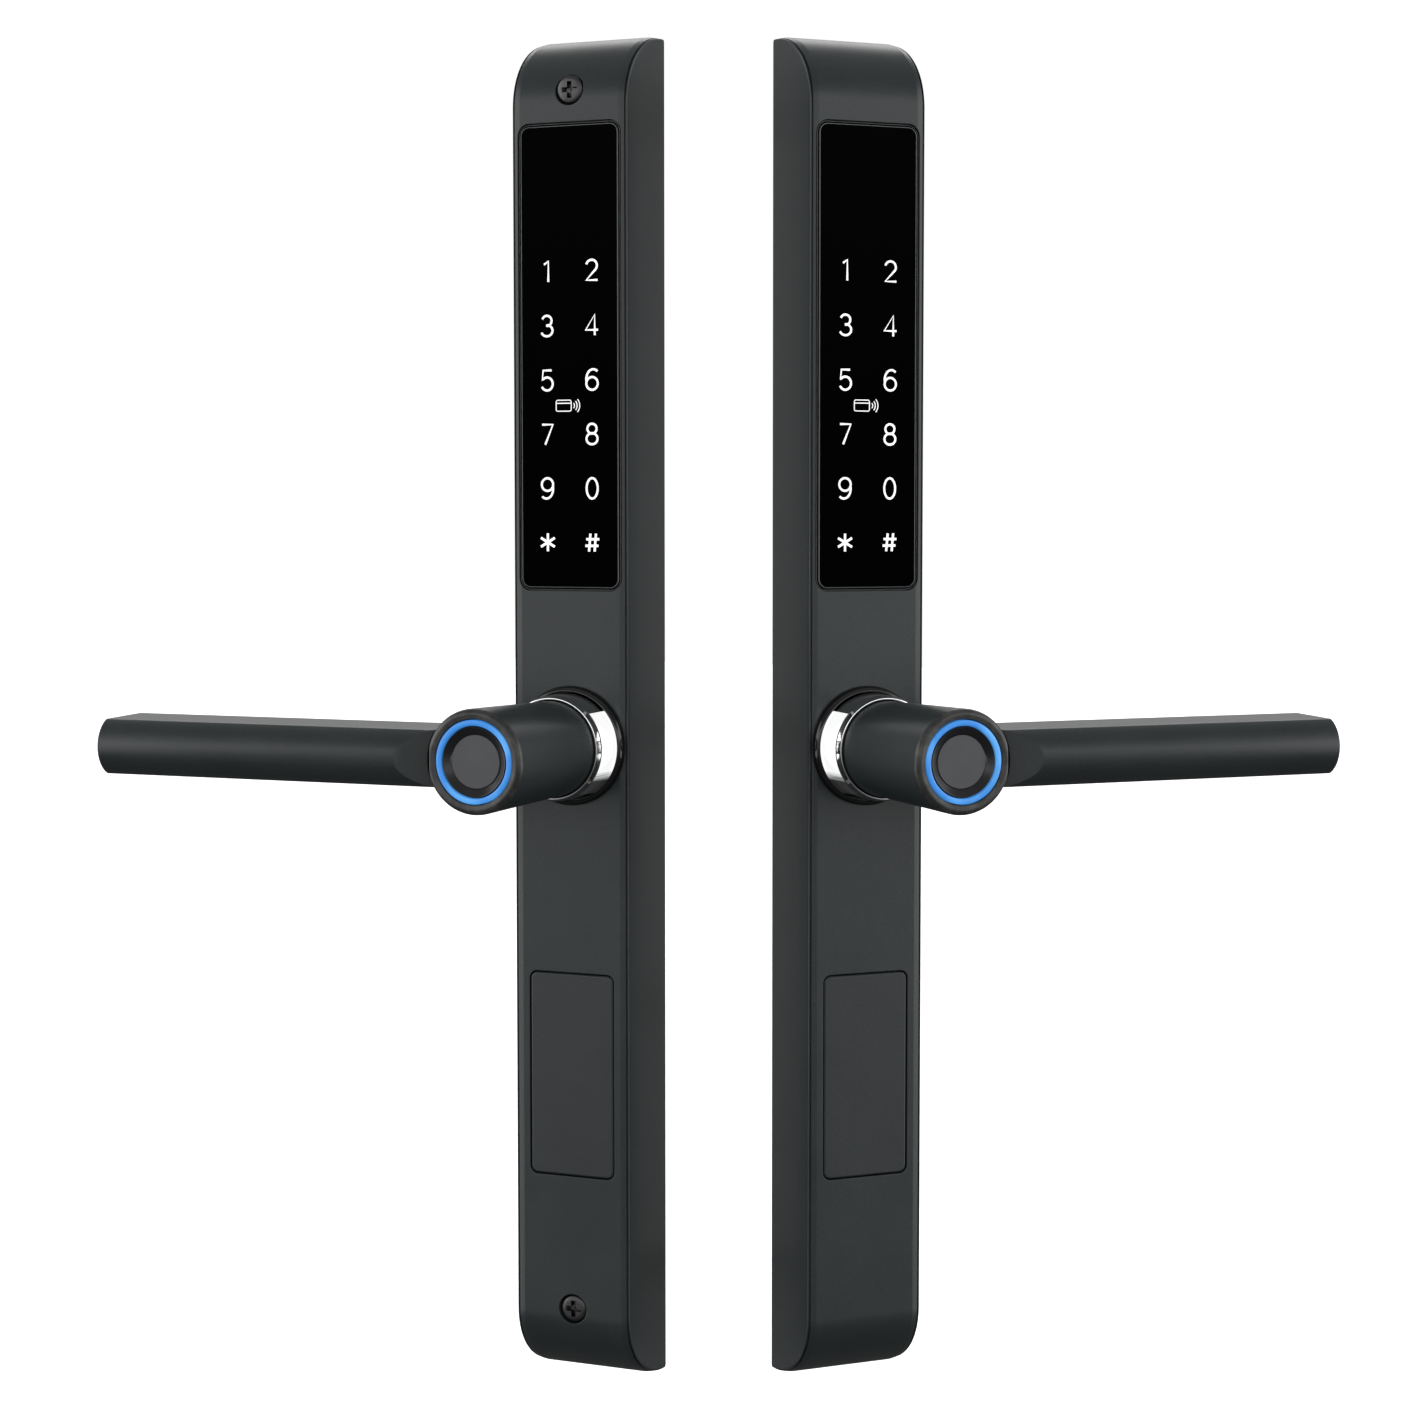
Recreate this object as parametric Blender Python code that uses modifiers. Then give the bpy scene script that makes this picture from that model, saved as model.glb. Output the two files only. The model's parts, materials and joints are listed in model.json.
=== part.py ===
"""Keypad smart lock for a slim door stile: an inside half and an outside half, each with its own lever.

Units are metres, +Z is up. Each half is modelled in its own frame: the door's face is the plane y = 0,
the casing stands out towards -Y, and the middle of the casing's height is z = 0. A stand-off is a
distance in front of the door's face, so a plane at stand-off s lies at y = -s. The inside half's frame is
the world frame. The outside half is the mirror image, carried by an empty on the line of the door's edge.
"""

import math
from dataclasses import dataclass

import bmesh
import bpy

# Casing
CASING_HEIGHT = 0.3760
CASING_WIDTH = 0.0350
CASING_DEPTH = 0.0250
END_RISE = 0.0200
FRONT_WALL = 0.0026
SIDE_WALL = 0.0016
END_WALL = 0.0020
EDGE_ROUND = 0.0015
RIM_SETBACK = 0.0003
GAP = 0.0003
THROUGH = 0.0020

# Door and the way the two halves stand to each other
DOOR_THICKNESS = 0.0400
EDGE_LINE_OFFSET = 0.0253
SPREAD_ANGLE = math.radians(46.2)
DOOR_REACH = 0.0170

# Keypad
GLASS_WIDTH = 0.0306
GLASS_HEIGHT = 0.1273
GLASS_CORNER = 0.0031
GLASS_THICKNESS = 0.0011
GLASS_BEVEL = 0.0004
GLASS_CENTRE = 0.0990
GLASS_LEDGE = 0.0036
BOARD_THICKNESS = 0.0016
KEYPAD_BOARD_SIDE_CLEARANCE = 0.00155
KEYPAD_BOARD_END_CLEARANCE = 0.00215
ANTENNA_TRACK = 0.0018
ANTENNA_THICKNESS = 0.0009
MAIN_BOARD_SIDE_CLEARANCE = 0.0024
MAIN_BOARD_HEIGHT = 0.1080
MAIN_BOARD_STANDOFF = 0.0124
PILLAR_RADIUS = 0.0016
PILLAR_INSET = 0.0030
CHIP_HEIGHT = 0.0022
CHIPS = (  # place along the board as a share of its length, and side
    (-0.30, 0.0090),
    (0.00, 0.0130),
    (0.27, 0.0070),
)

# Back plate and gasket
GASKET_THICKNESS = 0.0010
PLATE_THICKNESS = 0.0020
GASKET_INSET = 0.0008
CABLE_SLOT_WIDTH = 0.0100
CABLE_SLOT_HEIGHT = 0.0160
CABLE_SLOT_CENTRE = -0.0360
PLATE_SCREW_RADIUS = 0.0012
PLATE_SCREW_HEAD = 0.0026
PLATE_SCREW_HEAD_HEIGHT = 0.0004
PLATE_SCREW_LENGTH = 0.0090
PLATE_SCREW_HEIGHTS = {"upper": 0.0260, "lower": -0.0500}
PLATE_BOSS_RADIUS = 0.0032

# Through screws and the posts that take them
SCREW_TOP = 0.1717
SCREW_BOTTOM = -0.1663
SCREW_BOSS_RADIUS = 0.0058
SCREW_HEAD_RADIUS = 0.0039
SCREW_HEAD_HEIGHT = 0.0024
SCREW_SHANK_RADIUS = 0.0025
SCREW_SINK = 0.0031
CROSS_LENGTH = 0.0046
CROSS_WIDTH = 0.0010
CROSS_DEPTH = 0.0013
POST_RADIUS = 0.0040
POST_SPIGOT = 0.0100

# Lever
LEVER_AXIS = -0.0077
NECK_LENGTH = 0.0577
NECK_RIM_RADIUS = 0.0139
RIM_ROUND = 0.0015
JOURNAL_RADIUS = 0.0097
JOURNAL_END = 0.0100
SHOULDER_WIDTH = 0.0034
SHOULDER_GAP = 0.0022
ARM_REACH = 0.1173
ARM_FRONT_HEIGHT = 0.0152
ARM_BACK_HEIGHT = 0.0164
ARM_DEPTH = 0.0222
ARM_CROWN = 0.0045
ARM_SETBACK = 0.0015
ARM_BACK_ROUND = 0.0018
ARM_ROOT = 0.0030
SCOOP_START = 0.0246
SCOOP_END = 0.0173
SCOOP_EXTRA_DEPTH = 0.0002
SPINDLE_SIDE = 0.0080
SPINDLE_SOCKET_END = 0.0030
GRUB_SETBACK = 0.0037
GRUB_RADIUS = 0.0018
GRUB_LENGTH = 0.0070
GRUB_SOCKET_RADIUS = 0.0010
GRUB_SOCKET_DEPTH = 0.0020
GRUB_SOCKET_SIDES = 6
CABLE_BORE_RADIUS = 0.0020

# Reader in the end of the neck
READER_BORE_RADIUS = 0.0109
READER_BORE_DEPTH = 0.0080
LIGHT_RING_OUTER = 0.0106
LIGHT_RING_INNER = 0.0091
LIGHT_RING_SETBACK = 0.0002
LIGHT_RING_THICKNESS = 0.0014
SENSOR_RADIUS = 0.0073
SENSOR_SETBACK = 0.0015
SENSOR_THICKNESS = 0.0017
READER_BOARD_THICKNESS = 0.0012

# Rose, trim ring and bearing
TRIM_WALL = 0.0012
TRIM_LENGTH = 0.0123
TRIM_CHAMFER = 0.0003
ROSE_WIDTH = 0.0017
ROSE_HEIGHT = 0.0022
ROSE_SLOPE = (  # shares of the rose's width and height, from the ring outwards
    (0.35, 0.92),
    (0.75, 0.66),
    (1.00, 0.25),
)
BUSH_WALL = 0.0020
BUSH_FLANGE_RADIUS = 0.0140
BUSH_FLANGE_THICKNESS = 0.0015
BUSH_TAIL = 0.0016
BUSH_NOSE = 0.0017
CLIP_WIDTH = 0.0025
CLIP_THICKNESS = 0.0010
CLIP_GROOVE_DEPTH = 0.0009
CLIP_OPENING = math.radians(50)

# Return spring and drive hub
SPRING_CLEARANCE = 0.0007
SPRING_WIRE_RADIUS = 0.0006
SPRING_PITCH = 0.0016
SPRING_TURNS = 2.5
SPRING_LEG = 0.0028
HUB_RADIUS = 0.0115
HUB_THICKNESS = 0.0052
HUB_LUG_REACH = 0.0142
HUB_LUG_WIDTH = 0.0060

# Chamber behind the lower cover
COVER_WIDTH = 0.0254
COVER_HEIGHT = 0.0569
COVER_CORNER = 0.0020
COVER_THICKNESS = 0.0021
COVER_BEVEL = 0.0006
COVER_CENTRE = -0.0999
CHAMBER_LAP = 0.0007
CHAMBER_WALL = 0.0020
CHAMBER_FLOOR = 0.0012
SKIRT_WALL = 0.0012
SKIRT_DEPTH = 0.0025
CELL_RADIUS = 0.0051
CELL_LENGTH = 0.0433
CELL_NUB_RADIUS = 0.0019
CELL_NUB_HEIGHT = 0.0009
CELL_CLEARANCE = 0.0005
CONTACT_THICKNESS = 0.0005
CONTACT_WIDTH = 0.0070
CONTACT_PAD_RADIUS = 0.0024
KEY_HEIGHT = -0.0890
KEY_CYLINDER_RADIUS = 0.0060
KEY_CYLINDER_FRONT = 0.0160
KEY_PLUG_RADIUS = 0.0038
KEY_SLOT_WIDTH = 0.0012
KEY_SLOT_HEIGHT = 0.0056
KEY_SLOT_DEPTH = 0.0060
KEY_TAIL_WIDTH = 0.0050
KEY_TAIL_THICKNESS = 0.0020
KEY_TAIL_REACH = 0.0120
PORT_WIDTH = 0.0096
PORT_HEIGHT = 0.0040
PORT_DEPTH = 0.0060
PORT_WALL = 0.0006
PORT_CENTRE = -0.1150

# Clutch unit above the outside hub
CLUTCH_WIDTH = 0.0150
CLUTCH_HEIGHT = 0.0130
CLUTCH_CENTRE = 0.0146
CLUTCH_STANDOFF = 0.0050
CLUTCH_DEPTH = 0.0130

# Smoothness of round shapes
RING_STEPS = 32
SMALL_STEPS = 16
ROUND_STEPS = 3
SHARP_ANGLE = math.radians(35)
SPRING_STEPS = 12
CORNER_STEPS = 5
END_STEPS = 10
CROWN_STEPS = 10
WELD = 0.000001

# Planes and sizes that follow from the ones above
FRONT_INSIDE = CASING_DEPTH - FRONT_WALL
END_START = CASING_HEIGHT / 2 - END_RISE
PLATE_BACK = GASKET_THICKNESS + GAP
PLATE_FRONT = PLATE_BACK + PLATE_THICKNESS
INSIDE_BACK = PLATE_FRONT + GAP
RIM_FRONT = CASING_DEPTH + NECK_LENGTH
KEYPAD_BOARD_WIDTH = GLASS_WIDTH - 2 * KEYPAD_BOARD_SIDE_CLEARANCE
KEYPAD_BOARD_HEIGHT = GLASS_HEIGHT - 2 * KEYPAD_BOARD_END_CLEARANCE
MAIN_BOARD_WIDTH = CASING_WIDTH - 2 * (SIDE_WALL + MAIN_BOARD_SIDE_CLEARANCE)
BUSH_BORE_RADIUS = JOURNAL_RADIUS + GAP
BUSH_RADIUS = BUSH_BORE_RADIUS + BUSH_WALL
NECK_ROOT_RADIUS = JOURNAL_RADIUS + SHOULDER_WIDTH
TRIM_BORE_RADIUS = NECK_ROOT_RADIUS + GAP
TRIM_RADIUS = TRIM_BORE_RADIUS + TRIM_WALL
ROSE_RADIUS = TRIM_RADIUS + GAP + ROSE_WIDTH
SPRING_RADIUS = JOURNAL_RADIUS + SPRING_CLEARANCE + SPRING_WIRE_RADIUS
FLANGE_FRONT = FRONT_INSIDE - GAP
BUSH_BACK = FLANGE_FRONT - BUSH_FLANGE_THICKNESS - BUSH_TAIL
CLIP_FRONT = BUSH_BACK - 2 * GAP
CLIP_BACK = CLIP_FRONT - CLIP_THICKNESS
GRUB_STANDOFF = CASING_DEPTH + TRIM_LENGTH + GRUB_SETBACK
SPINDLE_SOCKET_DEPTH = GRUB_STANDOFF + SPINDLE_SOCKET_END
HUB_BACK = INSIDE_BACK + 2 * GAP
HUB_FRONT = HUB_BACK + HUB_THICKNESS
COVER_BACK = CASING_DEPTH - COVER_THICKNESS
CHAMBER_FRONT = FRONT_INSIDE - GAP
CHAMBER_BACK = INSIDE_BACK + 2 * GAP
CHAMBER_MOUTH_WIDTH = COVER_WIDTH - 2 * CHAMBER_LAP
CHAMBER_MOUTH_HEIGHT = COVER_HEIGHT - 2 * CHAMBER_LAP
CELL_SPACING = 2 * CELL_RADIUS + CELL_CLEARANCE
CELL_STANDOFF = CHAMBER_BACK + CHAMBER_FLOOR + GAP + CELL_RADIUS


@dataclass
class Half:
    """One half of the lock: its name, which way its lever points, and the empties that carry its pieces."""

    name: str
    arm_side: int
    frame: bpy.types.Object
    lever_axis: bpy.types.Object
    cover_axis: bpy.types.Object

    def piece(self, what):
        """Name of one of this half's pieces."""
        return f"{self.name}_{what}"


def clear_scene():
    for thing in list(bpy.data.objects):
        bpy.data.objects.remove(thing, do_unlink=True)


def new_collection(name):
    collection = bpy.data.collections.new(name)
    bpy.context.scene.collection.children.link(collection)
    return collection


def finish(name, colour, roughness, metallic=0.0, glow=0.0):
    """A Principled material."""
    material = bpy.data.materials.new(name)
    material.use_nodes = True
    shader = material.node_tree.nodes["Principled BSDF"]
    shader.inputs["Base Color"].default_value = (*colour, 1)
    shader.inputs["Roughness"].default_value = roughness
    shader.inputs["Metallic"].default_value = metallic
    if glow:
        shader.inputs["Emission Color"].default_value = (*colour, 1)
        shader.inputs["Emission Strength"].default_value = glow
    return material


def dress(thing, name, material, parent, smooth=True):
    """Name a finished object, give it its material and its carrier, and file it with the parts."""
    thing.name = name
    thing.data.name = name
    thing.data.materials.append(material)
    thing.parent = parent
    if smooth:
        thing.data.shade_smooth()
        thing.data.set_sharp_from_angle(angle=SHARP_ANGLE)
    PARTS.objects.link(thing)
    return thing


def tool(thing, parent):
    """File an object that only cuts or joins: it is carried like the piece it works on."""
    thing.parent = parent
    thing.hide_render = True
    thing.display_type = "WIRE"
    CUTTERS.objects.link(thing)
    return thing


def combine(thing, other, operation):
    modifier = thing.modifiers.new(operation.lower(), "BOOLEAN")
    modifier.operation = operation
    modifier.solver = "EXACT"
    modifier.object = other


def cut(thing, *cutters):
    for cutter in cutters:
        combine(thing, cutter, "DIFFERENCE")


def join(thing, *others):
    for other in others:
        combine(thing, other, "UNION")


def box(size, centre):
    """A box with its scale applied, so a bevel on it isn't stretched."""
    mesh = bpy.data.meshes.new("box")
    form = bmesh.new()
    bmesh.ops.create_cube(form, size=1)
    bmesh.ops.scale(form, vec=size, verts=form.verts)
    bmesh.ops.translate(form, vec=centre, verts=form.verts)
    form.to_mesh(mesh)
    form.free()
    return bpy.data.objects.new("box", mesh)


def rod(radius, back, front, x=0.0, z=0.0, steps=SMALL_STEPS):
    """A round bar square to the door, between two stand-offs."""
    mesh = bpy.data.meshes.new("rod")
    form = bmesh.new()
    sizes = {"radius1": radius, "radius2": radius, "depth": front - back}
    bmesh.ops.create_cone(form, cap_ends=True, segments=steps, **sizes)
    form.to_mesh(mesh)
    form.free()
    bar = bpy.data.objects.new("rod", mesh)
    bar.location = (x, -(front + back) / 2, z)
    bar.rotation_euler = (math.pi / 2, 0, 0)
    return bar


def turned(profile, steps=RING_STEPS, upright=False):
    """A turned piece from (radius, height) points: outer side first, top to bottom.

    Its axis is square to the door and heights are stand-offs, or the axis is upright and heights are z.
    """
    mesh = bpy.data.meshes.new("turned")
    count = len(profile)
    closed = profile[0][0] > 0
    edges = [(i, i + 1) for i in range(count - 1)]
    if closed:
        edges.append((count - 1, 0))
    mesh.from_pydata([(radius, 0, height) for radius, height in profile], edges, [])
    piece = bpy.data.objects.new("turned", mesh)
    screw = piece.modifiers.new("turn", "SCREW")
    screw.axis = "Z"
    screw.angle = 2 * math.pi
    screw.screw_offset = 0
    screw.steps = steps
    screw.render_steps = steps
    screw.use_merge_vertices = True
    screw.merge_threshold = WELD
    screw.use_smooth_shade = True
    if not upright:
        piece.rotation_euler = (math.pi / 2, 0, 0)
    return piece


def arc(centre, radii, start, end, steps):
    """Points along an arc of an ellipse, both ends included."""
    points = []
    for i in range(steps + 1):
        angle = start + (end - start) * i / steps
        points.append((centre[0] + radii[0] * math.cos(angle), centre[1] + radii[1] * math.sin(angle)))
    return points


def circle(radius, z, x=0.0, steps=SMALL_STEPS):
    return arc((x, z), (radius, radius), 0, 2 * math.pi * (steps - 1) / steps, steps - 1)


def round_rectangle(width, height, corner, z=0.0, steps=CORNER_STEPS):
    """Outline of a rectangle with round corners, anticlockwise."""
    points = []
    for i, (sx, sz) in enumerate(((1, 1), (-1, 1), (-1, -1), (1, -1))):
        middle = (sx * (width / 2 - corner), z + sz * (height / 2 - corner))
        points += arc(middle, (corner, corner), i * math.pi / 2, (i + 1) * math.pi / 2, steps)
    return points


def outline_mesh(loops, thickness):
    """Mesh of a flat outline with holes, half its thickness each side of z = 0, with whole flat faces."""
    curve = bpy.data.curves.new("outline", "CURVE")
    curve.dimensions = "2D"
    curve.fill_mode = "BOTH"
    curve.extrude = thickness / 2
    for loop in loops:
        spline = curve.splines.new("POLY")
        spline.points.add(len(loop) - 1)
        for point, (u, v) in zip(spline.points, loop):
            point.co = (u, v, 0, 1)
        spline.use_cyclic_u = True
    holder = bpy.data.objects.new("outline", curve)
    CUTTERS.objects.link(holder)
    graph = bpy.context.evaluated_depsgraph_get()
    mesh = bpy.data.meshes.new_from_object(holder.evaluated_get(graph))
    bpy.data.objects.remove(holder, do_unlink=True)
    bpy.data.curves.remove(curve)
    form = bmesh.new()
    form.from_mesh(mesh)
    bmesh.ops.remove_doubles(form, verts=form.verts, dist=WELD)
    bmesh.ops.dissolve_limit(form, angle_limit=math.radians(1), verts=form.verts, edges=form.edges)
    form.to_mesh(mesh)
    form.free()
    mesh.materials.clear()
    return mesh


def sheet(loops, back, front):
    """A flat piece parallel to the door, between two stand-offs, from outlines in (x, z)."""
    piece = bpy.data.objects.new("sheet", outline_mesh(loops, front - back))
    piece.rotation_euler = (math.pi / 2, 0, 0)
    piece.location = (0, -(front + back) / 2, 0)
    return piece


def bar_across(loops, left, right):
    """A piece of constant section from x = left to x = right, from outlines in (y, z)."""
    piece = bpy.data.objects.new("bar", outline_mesh(loops, right - left))
    piece.rotation_euler = (math.pi / 2, 0, math.pi / 2)
    piece.location = ((left + right) / 2, 0, 0)
    return piece


def bar_upright(loops, bottom, top):
    """A piece of constant section from z = bottom to z = top, from outlines in (x, y)."""
    piece = bpy.data.objects.new("bar", outline_mesh(loops, top - bottom))
    piece.location = (0, 0, (bottom + top) / 2)
    return piece


def round_edges(piece, wanted, width, segments):
    """Round the edges of a mesh that a test on their two end points picks."""
    mesh = piece.data
    weights = mesh.attributes.new("bevel_weight_edge", "FLOAT", "EDGE")
    for edge in mesh.edges:
        ends = [mesh.vertices[i].co for i in edge.vertices]
        if wanted(*ends):
            weights.data[edge.index].value = 1
    bevel = piece.modifiers.new("round", "BEVEL")
    bevel.limit_method = "WEIGHT"
    bevel.width = width
    bevel.segments = segments


def round_front(piece, width, segments=2):
    """Round the edges around the front face of a sheet."""
    front = max(vertex.co.z for vertex in piece.data.vertices)
    round_edges(piece, lambda a, b: min(a.z, b.z) > front - WELD, width, segments)


def casing_outline(front, rise, back):
    """Side outline of the casing in (y, z): straight front, both ends curved back to the door."""
    radii = (front - RIM_SETBACK, rise)
    lower = arc((-RIM_SETBACK, -END_START), radii, 1.5 * math.pi, math.pi, END_STEPS)
    upper = arc((-RIM_SETBACK, END_START), radii, math.pi, 0.5 * math.pi, END_STEPS)
    outline = lower + upper
    if back > -RIM_SETBACK:
        outline = [(back, lower[0][1])] + outline + [(back, upper[-1][1])]
    return outline


def cavity_half_height(standoff):
    """Half the height of the space inside the casing at a stand-off."""
    share = (standoff - RIM_SETBACK) / (FRONT_INSIDE - RIM_SETBACK)
    return END_START + (END_RISE - END_WALL) * math.sqrt(1 - share * share)


def make_casing(half, through_screws):
    """Cast casing, open at the back, with its screw bosses, keypad pocket, neck bore and chamber opening."""
    side = CASING_WIDTH / 2
    casing = bar_across([casing_outline(CASING_DEPTH, END_RISE, -RIM_SETBACK)], -side, side)
    rim = -RIM_SETBACK - WELD

    def on_long_edge(a, b):
        on_side = abs(a.z - b.z) < WELD
        return on_side and min(a.x, b.x) < rim and abs(abs(a.z) - side) < WELD

    round_edges(casing, on_long_edge, EDGE_ROUND, ROUND_STEPS)
    inner = side - SIDE_WALL
    hollow = casing_outline(FRONT_INSIDE, END_RISE - END_WALL, THROUGH)
    cavity = tool(bar_across([hollow], -inner, inner), half.frame)
    beyond = CASING_DEPTH + THROUGH
    for height in (SCREW_TOP, SCREW_BOTTOM):
        cut(cavity, tool(rod(SCREW_BOSS_RADIUS, INSIDE_BACK, beyond, z=height), half.frame))
    for height in PLATE_SCREW_HEIGHTS.values():
        cut(cavity, tool(rod(PLATE_BOSS_RADIUS, INSIDE_BACK, beyond, z=height), half.frame))
    cut(casing, cavity)

    pocket_width = GLASS_WIDTH + 2 * GAP
    pocket_height = GLASS_HEIGHT + 2 * GAP
    pocket_floor = CASING_DEPTH - GLASS_THICKNESS - GAP
    pocket = round_rectangle(pocket_width, pocket_height, GLASS_CORNER + GAP, GLASS_CENTRE)
    window_width = GLASS_WIDTH - 2 * GLASS_LEDGE
    window_height = GLASS_HEIGHT - 2 * GLASS_LEDGE
    window = round_rectangle(window_width, window_height, GLASS_CORNER, GLASS_CENTRE)
    opening_width = COVER_WIDTH + 2 * GAP
    opening_height = COVER_HEIGHT + 2 * GAP
    opening = round_rectangle(opening_width, opening_height, COVER_CORNER + GAP, COVER_CENTRE)
    behind = FRONT_INSIDE - THROUGH
    cut(casing, tool(sheet([pocket], pocket_floor, beyond), half.frame))
    cut(casing, tool(sheet([window], behind, beyond), half.frame))
    cut(casing, tool(sheet([opening], behind, beyond), half.frame))
    cut(casing, tool(rod(BUSH_RADIUS + GAP, behind, beyond, z=LEVER_AXIS, steps=RING_STEPS), half.frame))

    bore = SCREW_SHANK_RADIUS + GAP
    for height in (SCREW_TOP, SCREW_BOTTOM):
        if through_screws:
            seat = CASING_DEPTH - SCREW_SINK
            cut(casing, tool(rod(bore, 0, beyond, z=height), half.frame))
            cut(casing, tool(rod(SCREW_HEAD_RADIUS + GAP, seat, beyond, z=height), half.frame))
        else:
            cut(casing, tool(rod(bore, 0, INSIDE_BACK + POST_SPIGOT + GAP, z=height), half.frame))
    for height in PLATE_SCREW_HEIGHTS.values():
        depth = PLATE_BACK + PLATE_SCREW_LENGTH + GAP
        cut(casing, tool(rod(PLATE_SCREW_RADIUS + GAP, 0, depth, z=height), half.frame))
    return dress(casing, half.piece("casing"), CHARCOAL, half.frame)


def plate_holes(half, screw_hole, margin):
    """Outlines of the holes that the back plate and the gasket share: the gasket's have a margin."""
    holes = [circle(screw_hole, height) for height in (SCREW_TOP, SCREW_BOTTOM)]
    holes.append(circle(SPINDLE_SIDE / math.sqrt(2) + 2 * GAP + margin, LEVER_AXIS))
    slot_width = CABLE_SLOT_WIDTH + 2 * margin
    slot_height = CABLE_SLOT_HEIGHT + 2 * margin
    holes.append(round_rectangle(slot_width, slot_height, CABLE_SLOT_WIDTH / 4, CABLE_SLOT_CENTRE))
    if half.name == "outside":
        holes.append(circle(KEY_TAIL_WIDTH / 2 + 2 * GAP + margin, KEY_HEIGHT))
    return holes


def make_back_plate(half):
    width = CASING_WIDTH - 2 * SIDE_WALL - 2 * GAP
    height = 2 * (cavity_half_height(PLATE_FRONT) - GAP)
    loops = [round_rectangle(width, height, GASKET_THICKNESS)]
    loops += plate_holes(half, SCREW_SHANK_RADIUS + GAP, 0)
    loops += [circle(PLATE_SCREW_RADIUS + GAP, z) for z in PLATE_SCREW_HEIGHTS.values()]
    return dress(sheet(loops, PLATE_BACK, PLATE_FRONT), half.piece("back_plate"), STEEL, half.frame)


def make_gasket(half):
    width = CASING_WIDTH - 2 * (SIDE_WALL + GASKET_INSET)
    height = 2 * (cavity_half_height(PLATE_FRONT) - GASKET_INSET)
    loops = [round_rectangle(width, height, GASKET_THICKNESS)]
    loops += plate_holes(half, POST_RADIUS + GAP, GASKET_INSET)
    loops += [circle(PLATE_SCREW_HEAD + GAP, z) for z in PLATE_SCREW_HEIGHTS.values()]
    return dress(sheet(loops, 0, GASKET_THICKNESS), half.piece("door_gasket"), RUBBER, half.frame)


def make_plate_screw(half, place):
    """Small screw that holds the back plate to a casing boss, its head in a hole of the gasket."""
    head_back = PLATE_BACK - GAP - PLATE_SCREW_HEAD_HEIGHT
    profile = [
        (0, PLATE_BACK + PLATE_SCREW_LENGTH),
        (PLATE_SCREW_RADIUS, PLATE_BACK + PLATE_SCREW_LENGTH),
        (PLATE_SCREW_RADIUS, PLATE_BACK - GAP),
        (PLATE_SCREW_HEAD, PLATE_BACK - GAP),
        (PLATE_SCREW_HEAD, head_back),
        (0, head_back),
    ]
    screw = turned(profile, SMALL_STEPS)
    screw.location.z = PLATE_SCREW_HEIGHTS[place]
    return dress(screw, half.piece(f"plate_screw_{place}"), STEEL, half.frame)


def make_glass(half):
    outline = round_rectangle(GLASS_WIDTH, GLASS_HEIGHT, GLASS_CORNER, GLASS_CENTRE)
    glass = sheet([outline], CASING_DEPTH - GLASS_THICKNESS, CASING_DEPTH)
    round_front(glass, GLASS_BEVEL)
    return dress(glass, half.piece("keypad_glass"), BLACK_GLASS, half.frame)


def make_keypad_board(half):
    front = FRONT_INSIDE - GAP
    outline = round_rectangle(KEYPAD_BOARD_WIDTH, KEYPAD_BOARD_HEIGHT, BOARD_THICKNESS, GLASS_CENTRE)
    board = sheet([outline], front - BOARD_THICKNESS, front)
    return dress(board, half.piece("keypad_board"), BOARD_GREEN, half.frame)


def make_card_antenna(half):
    """Flat card-reader loop between the glass and the keypad board, inside the ledge's window."""
    width = GLASS_WIDTH - 2 * (GLASS_LEDGE + GAP)
    height = GLASS_HEIGHT - 2 * (GLASS_LEDGE + GAP)
    corner = GLASS_CORNER - GAP
    inner_corner = corner - ANTENNA_TRACK / 2
    loops = [
        round_rectangle(width, height, corner, GLASS_CENTRE),
        round_rectangle(width - 2 * ANTENNA_TRACK, height - 2 * ANTENNA_TRACK, inner_corner, GLASS_CENTRE),
    ]
    back = FRONT_INSIDE + GAP
    loop = sheet(loops, back, back + ANTENNA_THICKNESS)
    return dress(loop, half.piece("card_antenna"), COPPER, half.frame)


def make_main_board(half):
    """Main circuit board on four pillars that stand on the back plate, with its three largest chips."""
    back = MAIN_BOARD_STANDOFF
    front = back + BOARD_THICKNESS
    board = box(
        (MAIN_BOARD_WIDTH, BOARD_THICKNESS, MAIN_BOARD_HEIGHT),
        (0, -(back + front) / 2, GLASS_CENTRE),
    )
    across = MAIN_BOARD_WIDTH / 2 - PILLAR_INSET
    along = MAIN_BOARD_HEIGHT / 2 - PILLAR_INSET
    for x in (-across, across):
        for z in (GLASS_CENTRE - along, GLASS_CENTRE + along):
            join(board, tool(rod(PILLAR_RADIUS, INSIDE_BACK, back + GAP, x, z), half.frame))
    for share, side in CHIPS:
        place = (0, -(front + CHIP_HEIGHT / 2 - GAP), GLASS_CENTRE + share * MAIN_BOARD_HEIGHT)
        join(board, tool(box((side, CHIP_HEIGHT, side), place), half.frame))
    return dress(board, half.piece("main_board"), BOARD_GREEN, half.frame, smooth=False)


def make_rose(half):
    """Glossy black flange around the trim ring, domed from its edge up to the ring."""
    base = CASING_DEPTH + GAP
    bore = TRIM_RADIUS + GAP
    crest = base + ROSE_HEIGHT
    width = ROSE_RADIUS - bore
    slope = [(bore + out * width, base + up * ROSE_HEIGHT) for out, up in ROSE_SLOPE]
    rose = turned([(bore, crest)] + slope + [(ROSE_RADIUS, base), (bore, base)])
    rose.location.z = LEVER_AXIS
    return dress(rose, half.piece("rose"), BLACK_GLOSS, half.frame)


def make_trim_ring(half):
    """Polished ring that the neck turns in."""
    base = CASING_DEPTH + GAP
    front = base + TRIM_LENGTH
    profile = [
        (TRIM_RADIUS - TRIM_CHAMFER, front),
        (TRIM_RADIUS, front - TRIM_CHAMFER),
        (TRIM_RADIUS, base),
        (TRIM_BORE_RADIUS, base),
        (TRIM_BORE_RADIUS, front),
    ]
    ring = turned(profile)
    ring.location.z = LEVER_AXIS
    return dress(ring, half.piece("trim_ring"), CHROME, half.frame)


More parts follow.
